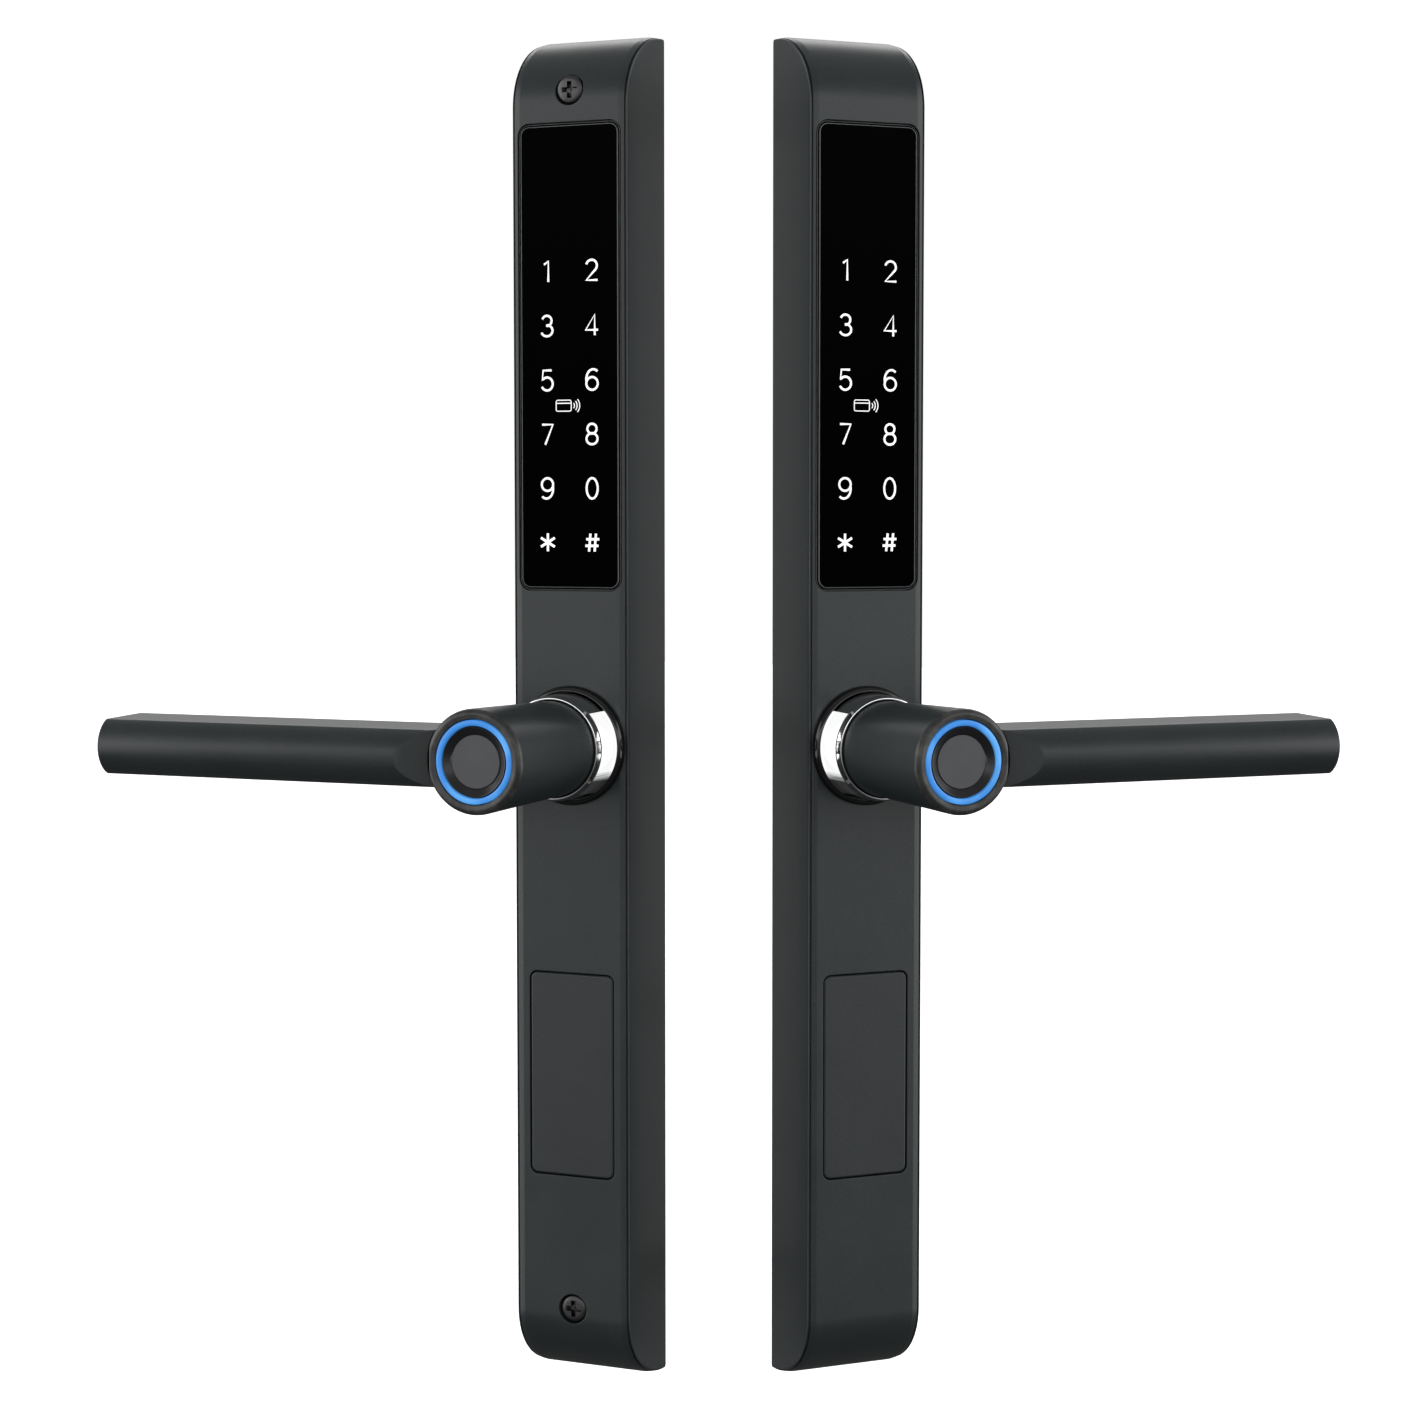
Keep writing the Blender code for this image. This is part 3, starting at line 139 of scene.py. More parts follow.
class Bench:
    """Modelling steps, each done with Blender's own operators on one piece at a time."""

    @staticmethod
    def hold(piece: bpy.types.Object) -> None:
        """Select one piece alone and make it the active one.

        Args:
            piece: The piece to hold.
        """
        bpy.ops.object.select_all(action="DESELECT")
        piece.select_set(True)
        bpy.context.view_layer.objects.active = piece

    @staticmethod
    @contextmanager
    def editing(piece: bpy.types.Object) -> Iterator[None]:
        """Edit mode on one piece, with nothing selected at first.

        Args:
            piece: The piece to edit.

        Yields:
            Nothing, while edit mode lasts.
        """
        Bench.hold(piece)
        bpy.ops.object.mode_set(mode="EDIT")
        bpy.ops.mesh.select_all(action="DESELECT")
        yield
        bpy.ops.object.mode_set(mode="OBJECT")

    @staticmethod
    def pick(piece: bpy.types.Object, kind: str, test: Callable[..., bool]) -> int:
        """Select the parts of the mesh in edit mode that pass a test.

        Args:
            piece: The piece in edit mode.
            kind: VERT, EDGE or FACE.
            test: Says whether a part is picked.

        Returns:
            How many parts were picked.
        """
        bpy.ops.mesh.select_all(action="DESELECT")
        bpy.ops.mesh.select_mode(type=kind)
        form = bmesh.from_edit_mesh(piece.data)
        form.normal_update()
        parts = {"VERT": form.verts, "EDGE": form.edges, "FACE": form.faces}[kind]
        chosen = [part for part in parts if test(part)]
        for part in chosen:
            part.select_set(True)
        form.select_flush_mode()
        bmesh.update_edit_mesh(piece.data)
        return len(chosen)

    @staticmethod
    def settle(piece: bpy.types.Object) -> None:
        """Put a new primitive's size and place into its mesh."""
        Bench.hold(piece)
        bpy.ops.object.transform_apply(location=True, rotation=True, scale=True)

    @staticmethod
    def block(low: tuple[float, float, float], high: tuple[float, float, float]) -> bpy.types.Object:
        """A block between two corners.

        Args:
            low: Its lowest corner.
            high: Its highest corner.

        Returns:
            The block.
        """
        middle = [(a + b) / 2 for a, b in zip(low, high)]
        size = [b - a for a, b in zip(low, high)]
        bpy.ops.mesh.primitive_cube_add(size=1, location=middle, scale=size)
        piece = bpy.context.object
        Bench.settle(piece)
        return piece

    @staticmethod
    def bevel(piece: bpy.types.Object, test: EdgeTest, width: float, segments: int = 3) -> int:
        """Round the edges that pass a test.

        Args:
            piece: The piece to work on.
            test: Says whether an edge is rounded.
            width: How far the rounding reaches from the edge.
            segments: Steps of the rounding.

        Returns:
            How many edges were rounded.
        """
        with Bench.editing(piece):
            count = Bench.pick(piece, "EDGE", test)
            if count:
                bpy.ops.mesh.bevel(offset=width, offset_type="OFFSET", segments=segments, affect="EDGES")
        return count

    @staticmethod
    def plate(size: tuple[float, float], corner: float, depth: tuple[float, float], z: float = 0.0,
              x: float = 0.0, steps: int = 8) -> bpy.types.Object:
        """A plate parallel to the door with round corners.

        Args:
            size: Width and height.
            corner: Radius of the corners.
            depth: Stand-offs of its back and its front.
            z: Height of its middle.
            x: Place of its middle across the door.
            steps: Steps of each corner.

        Returns:
            The plate.
        """
        width, height = size
        back, front = depth
        low = (x - width / 2, -front, z - height / 2)
        high = (x + width / 2, -back, z + height / 2)
        piece = Bench.block(low, high)
        Bench.bevel(piece, lambda edge: runs_along(edge, 1), corner, steps)
        return piece

    @staticmethod
    def turn(profile: Profile, z: float = 0.0, x: float = 0.0, sides: int = 96) -> bpy.types.Object:
        """A round piece square to the door, made by extruding and resizing a ring.

        Args:
            profile: Points (radius, stand-off). A profile that starts at radius 0 is a solid and ends in a
                flat face. Any other profile is closed into a ring.
            z: Height of its axis.
            x: Place of its axis across the door.
            sides: Sides of the ring.

        Returns:
            The round piece.
        """
        solid = profile[0][0] == 0
        rings = [point for point in profile if point[0] > 0]
        if not solid:
            rings.append(rings[0])
        radius, standoff = rings[0]
        bpy.ops.mesh.primitive_circle_add(
            vertices=sides,
            radius=radius,
            fill_type="NGON" if solid else "NOTHING",
            location=(x, -standoff, z),
            rotation=(math.pi / 2, 0, 0),
        )
        piece = bpy.context.object
        Bench.settle(piece)
        with Bench.editing(piece):
            bpy.ops.mesh.select_mode(type="FACE" if solid else "EDGE")
            bpy.ops.mesh.select_all(action="SELECT")
            for (r0, s0), (r1, s1) in pairwise(rings):
                bpy.ops.mesh.extrude_region_move(TRANSFORM_OT_translate={"value": (0, s0 - s1, 0)})
                if r1 != r0:
                    share = r1 / r0
                    bpy.ops.transform.resize(value=(share, 1, share), center_override=(x, -s1, z))
        Bench.close(piece)
        return piece

    @staticmethod
    def close(piece: bpy.types.Object) -> None:
        """Merge doubled points and turn every face outwards.

        Args:
            piece: The piece to work on.
        """
        with Bench.editing(piece):
            bpy.ops.mesh.select_all(action="SELECT")
            bpy.ops.mesh.remove_doubles(threshold=WELD)
            bpy.ops.mesh.normals_make_consistent(inside=False)

    @staticmethod
    def combine(piece: bpy.types.Object, other: bpy.types.Object, joining: Joining) -> None:
        """Cut or join another solid and clear it away.

        Args:
            piece: The piece to work on.
            other: The solid that acts on it.
            joining: Whether it cuts or joins.
        """
        Bench.hold(piece)
        modifier = piece.modifiers.new(joining.name, "BOOLEAN")
        modifier.operation = joining.value
        modifier.solver = "EXACT"
        modifier.object = other
        bpy.ops.object.modifier_apply(modifier=modifier.name)
        bpy.data.objects.remove(other, do_unlink=True)

    @staticmethod
    def merge(piece: bpy.types.Object, others: list[bpy.types.Object]) -> bpy.types.Object:
        """Put separate shells into one mesh.

        Args:
            piece: The piece to work on.
            others: The shells that join it.

        Returns:
            The piece with every shell.
        """
        Bench.hold(piece)
        for other in others:
            other.select_set(True)
        bpy.ops.object.join()
        return piece

    @staticmethod
    def smooth(piece: bpy.types.Object, angle: float = 30.0) -> None:
        """Shade a piece smooth where its faces meet at less than an angle in degrees."""
        Bench.hold(piece)
        bpy.ops.object.shade_smooth_by_angle(angle=math.radians(angle))

    @staticmethod
    def level(piece: bpy.types.Object) -> None:
        """Let large faces set the normals, so that they shade flat beside small roundings.

        Args:
            piece: The piece to work on.
        """
        Bench.hold(piece)
        modifier = piece.modifiers.new("large_faces_flat", "WEIGHTED_NORMAL")
        modifier.keep_sharp = True
        modifier.weight = 100
        bpy.ops.object.modifier_apply(modifier=modifier.name)

    @staticmethod
    def twin(piece: bpy.types.Object) -> bpy.types.Object:
        """A copy with its own mesh.

        Args:
            piece: The piece to copy.

        Returns:
            The copy.
        """
        copy = piece.copy()
        copy.data = piece.data.copy()
        bpy.context.scene.collection.objects.link(copy)
        return copy

    @staticmethod
    def apply_matrix(piece: bpy.types.Object, place: Matrix) -> None:
        """Move a mesh, and turn its faces outwards again where the move mirrors it.

        Args:
            piece: The piece to work on.
            place: The move, turn or mirroring.
        """
        piece.data.transform(place)
        if place.determinant() < 0:
            piece.data.flip_normals()
        piece.data.update()


def screw_heights() -> list[float]:
    """Heights of the two through screws, the upper one first."""
    return [Room.of(f"inside_screw_{place}").z for place in ("top", "bottom")]


def runs_along(edge: bmesh.types.BMEdge, axis: int) -> bool:
    """Whether an edge runs along one axis."""
    span = edge.verts[0].co - edge.verts[1].co
    return all(abs(span[i]) < TINY for i in range(3) if i != axis)


def both(edge: bmesh.types.BMEdge, test: Callable[[Vector], bool]) -> bool:
    """Whether both ends of an edge pass a test."""
    return test(edge.verts[0].co) and test(edge.verts[1].co)


def off_round_rectangle(point: Vector, size: tuple[float, float], corner: float, z: float) -> float:
    """Distance of a point from the outline of a rectangle with round corners.

    Args:
        point: A point on the door's face or off it.
        size: Width and height.
        corner: Radius of the corners.
        z: Height of the rectangle's middle.

    Returns:
        The distance across the door's face.
    """
    dx = abs(point.x) - (size[0] / 2 - corner)
    dz = abs(point.z - z) - (size[1] / 2 - corner)
    outside = math.hypot(max(dx, 0), max(dz, 0))
    return abs(outside + min(max(dx, dz), 0) - corner)


class Value:
    """A number, vector or colour on its way through a material's nodes."""

    def __init__(self, tree: "Tree", socket: bpy.types.NodeSocket) -> None:
        """Wrap an output socket."""
        self.tree = tree
        self.socket = socket

    def _math(self, operation: str, first: "Value | float", second: "Value | float") -> "Value":
        """One Math node on two numbers."""
        return self.tree.node("ShaderNodeMath", {"operation": operation}, {0: first, 1: second})

    def __add__(self, other: "Value | float") -> "Value":
        """Sum."""
        return self._math("ADD", self, other)

    def __radd__(self, other: float) -> "Value":
        """Sum with a plain number first."""
        return self._math("ADD", other, self)

    def __sub__(self, other: "Value | float") -> "Value":
        """Difference."""
        return self._math("SUBTRACT", self, other)

    def __rsub__(self, other: float) -> "Value":
        """Difference from a plain number."""
        return self._math("SUBTRACT", other, self)

    def __mul__(self, other: "Value | float") -> "Value":
        """Product."""
        return self._math("MULTIPLY", self, other)

    def __rmul__(self, other: float) -> "Value":
        """Product with a plain number first."""
        return self._math("MULTIPLY", other, self)


class Tree:
    """Node tree of one material, with a Principled shader at its end."""

    def __init__(self, name: str) -> None:
        """Start an empty material.

        Args:
            name: The material's name.
        """
        self.material = bpy.data.materials.new(name)
        self.material.use_nodes = True
        self.nodes = self.material.node_tree.nodes
        self.links = self.material.node_tree.links
        self.shader = self.nodes["Principled BSDF"]

    def node(self, kind: str, settings: dict, values: dict, output: str | int = 0) -> Value:
        """Add a node.

        Args:
            kind: The node's type.
            settings: Its own settings, set first.
            values: Numbers, colours or links for its sockets, by name or number.
            output: Which output is passed on.

        Returns:
            The output, ready for the next step.
        """
        node = self.nodes.new(kind)
        for key, setting in settings.items():
            if key == "stops":
                self._set_stops(node.color_ramp, setting)
            else:
                setattr(node, key, setting)
        for key, value in values.items():
            self.feed(node.inputs[key], value)
        return Value(self, node.outputs[output])

    @staticmethod
    def _set_stops(ramp: bpy.types.ColorRamp, stops: list[tuple[float, float]]) -> None:
        """Give a ramp its grey stops.

        Args:
            ramp: The ramp.
            stops: Positions and greys, from 0 to 1.
        """
        while len(ramp.elements) < len(stops):
            ramp.elements.new(1.0)
        for element, (position, grey) in zip(ramp.elements, stops):
            element.position = position
            element.color = (grey, grey, grey, 1)

    def feed(self, socket: bpy.types.NodeSocket, value: "Value | float | tuple") -> None:
        """Set a socket or link it.

        Args:
            socket: The socket.
            value: A link, a number or a colour without alpha.
        """
        if isinstance(value, Value):
            self.links.new(value.socket, socket)
        elif isinstance(value, tuple) and len(value) == 3 and socket.type == "RGBA":
            socket.default_value = (*value, 1)
        else:
            socket.default_value = value

    def place(self, stretch: Colour = (1.0, 1.0, 1.0), turn: float = 0.0) -> Value:
        """Object coordinates, turned about the upright and stretched.

        Args:
            stretch: Shares of the coordinates.
            turn: Angle about the upright in radians.

        Returns:
            The coordinates.
        """
        spot = self.node("ShaderNodeTexCoord", {}, {}, "Object")
        values = {"Vector": spot, "Scale": stretch, "Rotation": (0.0, 0.0, turn)}
        return self.node("ShaderNodeMapping", {}, values)

    def noise(self, where: Value, grain: float, detail: float = 2.0, roughness: float = 0.5) -> Value:
        """Noise with features of one size in metres."""
        values = {"Vector": where, "Scale": 1 / grain, "Detail": detail, "Roughness": roughness}
        return self.node("ShaderNodeTexNoise", {}, values, "Fac")

    def ramp(self, value: Value, stops: list[tuple[float, float]]) -> Value:
        """Grey ramp."""
        return self.node("ShaderNodeValToRGB", {"stops": stops}, {"Fac": value}, "Color")

    def blend(self, share: Value, first: "Value | Colour", second: "Value | Colour") -> Value:
        """Mix of two colours.

        Args:
            share: Share of the second colour.
            first: First colour.
            second: Second colour.

        Returns:
            The mixed colour.
        """
        node = self.nodes.new("ShaderNodeMix")
        node.data_type = "RGBA"
        self.feed(node.inputs[0], share)
        self.feed(node.inputs[6], first)
        self.feed(node.inputs[7], second)
        return Value(self, node.outputs[2])

    def bump(self, height: Value, depth: float, strength: float = 1.0) -> Value:
        """Normal from a height whose full range is a depth in metres."""
        values = {"Height": height, "Distance": depth, "Strength": strength}
        return self.node("ShaderNodeBump", {}, values, "Normal")

    def finish(self, **values: "Value | float | tuple") -> bpy.types.Material:
        """Feed the shader, with socket names in lower case and underscores, and return the material.

        Args:
            values: A number, colour or link for each socket.

        Returns:
            The finished material.
        """
        names = {socket.name.lower().replace(" ", "_"): socket for socket in self.shader.inputs}
        for key, value in values.items():
            self.feed(names[key], value)
        return self.material


@dataclass(frozen=True)
class PowderCoat:
    """Satin powder coat with a fine grain and faint clouds."""

    name: str
    colour: Colour
    lighter: Colour
    roughness: float
    grain: float = 0.00032
    grain_depth: float = 0.000022

    def material(self) -> bpy.types.Material:
        """Build the finish.

        Returns:
            The material.
        """
        tree = Tree(self.name)
        here = tree.place()
        grain = tree.noise(here, self.grain, 2.0, 0.6)
        cloud = tree.noise(here, 0.018, 3.0, 0.55)
        fleck = tree.ramp(tree.noise(here, self.grain * 1.7, 1.0), [(0.44, 0.0), (0.70, 1.0)])
        share = 0.35 * tree.ramp(cloud, [(0.30, 0.0), (0.72, 1.0)]) + 0.45 * fleck
        return tree.finish(
            base_color=tree.blend(share, self.colour, self.lighter),
            roughness=self.roughness + 0.10 * (grain - 0.5) + 0.08 * (cloud - 0.5),
            normal=tree.bump(grain, self.grain_depth),
        )


@dataclass(frozen=True)
class WornCoat:
    """The same coat where fingers rub it: warmer, with lighter worn patches."""

    name: str
    colour: Colour
    worn: Colour
    roughness: float

    def material(self) -> bpy.types.Material:
        """Build the finish.

        Returns:
            The material.
        """
        tree = Tree(self.name)
        here = tree.place()
        patch = tree.ramp(tree.noise(here, 0.0035, 4.0, 0.62), [(0.40, 0.0), (0.66, 1.0)])
        grain = tree.noise(here, 0.0003, 2.0)
        return tree.finish(
            base_color=tree.blend(patch * (0.6 + 0.6 * grain), self.colour, self.worn),
            roughness=self.roughness - 0.10 * patch + 0.08 * grain,
            normal=tree.bump(grain, 0.000018),
        )


@dataclass(frozen=True)
class PolishedGlass:
    """Glossy black surface with the faintest smears."""

    name: str
    colour: Colour
    roughness: float
    level: float

    def material(self) -> bpy.types.Material:
        """Build the finish.

        Returns:
            The material.
        """
        tree = Tree(self.name)
        here = tree.place((1.0, 1.0, 0.6))
        smear = tree.noise(here, 0.012, 4.0, 0.6)
        ripple = tree.noise(here, 0.02, 1.0)
        return tree.finish(
            base_color=tree.blend(smear, self.colour, tuple(1.6 * c for c in self.colour)),
            roughness=self.roughness + 0.05 * tree.ramp(smear, [(0.45, 0.0), (0.80, 1.0)]),
            specular_ior_level=self.level,
            normal=tree.bump(ripple, 0.000004),
        )


@dataclass(frozen=True)
class Metal:
    """Bare or plated metal with tool marks along one direction."""

    name: str
    colour: Colour
    darker: Colour
    roughness: float
    marks: Colour = (1.0, 1.0, 1.0)
    mark_size: float = 0.0006
    mark_depth: float = 0.000006

    def material(self) -> bpy.types.Material:
        """Build the finish.

        Returns:
            The material.
        """
        tree = Tree(self.name)
        lines = tree.noise(tree.place(self.marks), self.mark_size, 3.0, 0.6)
        stain = tree.noise(tree.place(), 0.007, 4.0, 0.6)
        share = tree.ramp(stain, [(0.42, 0.0), (0.78, 1.0)])
        return tree.finish(
            base_color=tree.blend(share * 0.7, self.colour, self.darker),
            metallic=1.0,
            roughness=self.roughness + 0.10 * (lines - 0.5) + 0.14 * share,
            normal=tree.bump(lines, self.mark_depth),
        )


@dataclass(frozen=True)
class Plastic:
    """Moulded plastic or rubber with a spark-eroded grain."""

    name: str
    colour: Colour
    lighter: Colour
    roughness: float
    grain: float = 0.0004
    grain_depth: float = 0.00002

    def material(self) -> bpy.types.Material:
        """Build the finish.

        Returns:
            The material.
        """
        tree = Tree(self.name)
        here = tree.place()
        cells = tree.node("ShaderNodeTexVoronoi", {}, {"Vector": here, "Scale": 1 / self.grain}, "Distance")
        cloud = tree.noise(here, 0.006, 3.0)
        return tree.finish(
            base_color=tree.blend(cloud * 0.8, self.colour, self.lighter),
            roughness=self.roughness + 0.12 * (cells - 0.4),
            normal=tree.bump(cells, self.grain_depth),
        )


@dataclass(frozen=True)
class LitGuide:
    """Frosted light guide, a little uneven as its lamps shine through."""

    name: str
    colour: Colour
    bright: Colour
    strength: float

    def material(self) -> bpy.types.Material:
        """Build the finish.

        Returns:
            The material.
        """
        tree = Tree(self.name)
        here = tree.place()
        lamp = tree.ramp(tree.noise(here, 0.011, 1.0), [(0.46, 0.0), (0.66, 1.0)])
        frost = tree.noise(here, 0.0004, 2.0)
        glow = tree.blend(lamp * 0.9, self.colour, self.bright)
        return tree.finish(
            base_color=glow,
            roughness=0.30 + 0.15 * frost,
            emission_color=glow,
            emission_strength=self.strength,
            normal=tree.bump(frost, 0.00001),
        )


@dataclass(frozen=True)
class PaintedReflectionChrome:
    """Chrome with a painted reflection: a white card painted in as emission, broken into streaks at the card's
    lower end.
    """

    name: str
    colour: Colour
    # strength of the painted reflection's emission
    strength: float
    # height below which the painted reflection breaks into streaks
    painted_streaks_below: float

    def material(self) -> bpy.types.Material:
        """Build the finish.

        Returns:
            The material.
        """
        tree = Tree(self.name)
        here = tree.place((0.02, 0.02, 1.0))
        height = tree.node("ShaderNodeSeparateXYZ", {}, {"Vector": tree.place()}, "Z")
        # painted reflection: full white above a height, broken into streaks below it
        painted_streak = tree.ramp(tree.noise(here, 0.0007, 2.0), [(0.40, 0.0), (0.47, 1.0)])
        values = {"Value": height, "From Min": self.painted_streaks_below - 0.0026, "From Max": self.painted_streaks_below}
        painted_card_fade = tree.node("ShaderNodeMapRange", {}, values, "Result")
        card = tree.node("ShaderNodeMath", {"operation": "MAXIMUM"}, {0: painted_card_fade * painted_card_fade, 1: painted_streak * painted_card_fade})
        return tree.finish(
            base_color=self.colour,
            metallic=1.0,
            roughness=0.05 + 0.05 * painted_streak,
            # the painted reflection is emitted light, dark where no card is painted
            emission_color=tree.blend(card, (0.02, 0.02, 0.02), (1.0, 1.0, 1.0)),
            emission_strength=self.strength,
        )


@dataclass(frozen=True)
class CircuitBoard:
    """Solder mask with tracks under it and tinned pads."""

    name: str
    mask: Colour
    track: Colour
    pad: Colour

    def material(self) -> bpy.types.Material:
        """Build the finish.

        Returns:
            The material.
        """
        tree = Tree(self.name)
        here = tree.place()
        settings = {"distance": "CHEBYCHEV", "feature": "F1"}
        cells = tree.node("ShaderNodeTexVoronoi", settings, {"Vector": here, "Scale": 420.0}, "Distance")
        lanes = tree.ramp(tree.node("ShaderNodeMath", {"operation": "PINGPONG"}, {0: cells * 4.0, 1: 0.5}),
                          [(0.55, 0.0), (0.65, 1.0)])
        pads = tree.ramp(cells, [(0.10, 1.0), (0.16, 0.0)])
        colour = tree.blend(pads, tree.blend(lanes, self.mask, self.track), self.pad)
        return tree.finish(
            base_color=colour,
            metallic=pads * 0.9,
            roughness=0.42 - 0.12 * pads,
            normal=tree.bump(lanes, 0.00003),
        )


RECIPES = {
    "coat": PowderCoat("charcoal_powder_coat", (0.0180, 0.0245, 0.0270), (0.031, 0.039, 0.042), 0.36),
    "cover_coat": PowderCoat("cover_powder_coat", (0.0185, 0.0235, 0.0255), (0.032, 0.038, 0.041), 0.42),
    "rim": WornCoat("worn_rim_coat", (0.021, 0.021, 0.021), (0.060, 0.059, 0.058), 0.38),
    "glass": PolishedGlass("keypad_black_glass", (0.0003, 0.0003, 0.0004), 0.03, 0.01),
    "ground": Plastic("ground_glass_edge", (0.10, 0.105, 0.11), (0.17, 0.175, 0.18), 0.40),
    "gloss": PolishedGlass("rose_black_gloss", (0.006, 0.006, 0.007), 0.09, 0.5),
    "funnel": PolishedGlass("funnel_black_satin", (0.010, 0.010, 0.011), 0.30, 0.5),
    "chrome": Metal("polished_chrome", (0.90, 0.90, 0.91), (0.82, 0.82, 0.84), 0.045,
                    mark_size=0.002, mark_depth=0.000001),
    # chrome with a painted reflection of a white card, given as emission
    "lit_chrome": PaintedReflectionChrome("chrome_in_the_light", (0.90, 0.90, 0.91), 0.92, -0.0140),
    "sensor": Plastic("sensor_skin", (0.074, 0.077, 0.085), (0.104, 0.107, 0.117), 0.52,
                      grain=0.00028, grain_depth=0.000012),
    "light": LitGuide("blue_light_guide", (0.030, 0.20, 0.58), (0.085, 0.33, 0.74), 0.66),
    "ink": LitGuide("backlit_white", (0.86, 0.87, 0.88), (1.0, 1.0, 1.0), 0.62),
    "steel": Metal("zinc_plated_steel", (0.52, 0.53, 0.54), (0.36, 0.37, 0.38), 0.32),
    "dark_steel": Metal("blackened_steel", (0.085, 0.085, 0.088), (0.016, 0.016, 0.017), 0.38,
                        mark_size=0.0005, mark_depth=0.00004),
    "brass": Metal("turned_brass", (0.62, 0.45, 0.20), (0.44, 0.30, 0.13), 0.28, marks=(1.0, 6.0, 1.0)),
    "copper": Metal("copper_track", (0.72, 0.36, 0.22), (0.50, 0.24, 0.15), 0.34),
    "rubber": Plastic("foam_rubber", (0.012, 0.012, 0.013), (0.026, 0.026, 0.027), 0.88,
                      grain=0.0007, grain_depth=0.00009),
    "board": CircuitBoard("circuit_board", (0.010, 0.085, 0.040), (0.018, 0.135, 0.065), (0.62, 0.60, 0.55)),
    "tray": Plastic("moulded_black", (0.011, 0.011, 0.012), (0.022, 0.022, 0.023), 0.50),
    "sleeve": Plastic("cell_sleeve", (0.016, 0.052, 0.110), (0.026, 0.075, 0.150), 0.28,
                      grain=0.002, grain_depth=0.000008),
    "clutch": Plastic("moulded_grey", (0.17, 0.17, 0.18), (0.24, 0.24, 0.25), 0.48),
}


@dataclass(frozen=True)
class Finishes:
    """Every finish of the lock, made once and shared."""

    coat: bpy.types.Material
    cover_coat: bpy.types.Material
    rim: bpy.types.Material
    glass: bpy.types.Material
    ground: bpy.types.Material
    gloss: bpy.types.Material
    funnel: bpy.types.Material
    chrome: bpy.types.Material
    lit_chrome: bpy.types.Material
    sensor: bpy.types.Material
    light: bpy.types.Material
    ink: bpy.types.Material
    steel: bpy.types.Material
    dark_steel: bpy.types.Material
    brass: bpy.types.Material
    copper: bpy.types.Material
    rubber: bpy.types.Material
    board: bpy.types.Material
    tray: bpy.types.Material
    sleeve: bpy.types.Material
    clutch: bpy.types.Material

    @classmethod
    def make(cls) -> "Finishes":
        """Build every finish from its recipe."""
        return cls(**{name: recipe.material() for name, recipe in RECIPES.items()})


@dataclass(frozen=True)
class Half:
    """One half of the lock: its name and where its own frame stands in the world."""

    name: str
    place: Matrix

    def deliver(self, piece: bpy.types.Object, name: str, slot: str, carrier: Carrier = Carrier.HALF,
                replaced: tuple[str, ...] = ()) -> None:
        """Args:
            piece: The piece, already dressed.
            name: Its name without the half's.
            slot: The record's material slot; not used.
            carrier: The body that it moves with.
            replaced: Names, without the half's, of the CAD nodes that it stands for.
        """
        Bench.apply_matrix(piece, self.place)
        Bench.level(piece)
        piece.name = f"{self.name}_{name}_fine"
        piece.data.name = piece.name
        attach(piece, f"{self.name}_{carrier.value}")
        if replaced:
            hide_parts(*(f"{self.name}_{node}" for node in replaced))
        LOG.info("%s: %d faces", piece.name, len(piece.data.polygons))


@dataclass(frozen=True)
class Pair:
    """Both halves of the lock."""

    inside: Half
    outside: Half

    @classmethod
    def of(cls, joints: list[dict]) -> "Pair":
        """Work out where the outside half stands from the hinge at the door's edge.

        Args:
            joints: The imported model's joints.

        Returns:
            The two halves.
        """
        hinge = next(joint for joint in joints if joint["name"] == "close_on_door")
        x, y, z = hinge["pos_m"]
        spread = math.pi - math.radians(hinge["range_deg"][1])
        turned = Matrix.Translation((x, y, z)) @ Matrix.Rotation(spread, 4, "Z")
        mirror = Matrix.Scale(-1, 4, (1, 0, 0))
        outside = turned @ Matrix.Translation((x, -y, 0)) @ mirror
        return cls(Half("inside", Matrix()), Half("outside", outside))

    def deliver(self, piece: bpy.types.Object, name: str, slot: str, carrier: Carrier = Carrier.HALF,
                replaced: tuple[str, ...] | None = None) -> None:
        """Deliver a piece to the inside half and its mirrored twin to the outside half.

        Args:
            piece: The piece, already dressed.
            name: Its name without the half's.
            slot: The record's material slot.
            carrier: The body that it moves with.
            replaced: CAD nodes that it stands for, or the one with its own name if none are given.
        """
        nodes = (name,) if replaced is None else replaced
        twin = Bench.twin(piece)
        self.inside.deliver(piece, name, slot, carrier, nodes)
        self.outside.deliver(twin, name, slot, carrier, nodes)


def dress(piece: bpy.types.Object, *materials: bpy.types.Material) -> bpy.types.Object:
    """Give a piece its finishes, the first one all over.

    Args:
        piece: The piece to dress.
        materials: The finishes, in the order of its slots.

    Returns:
        The same piece.
    """
    piece.data.materials.clear()
    for material in materials:
        piece.data.materials.append(material)
    return piece


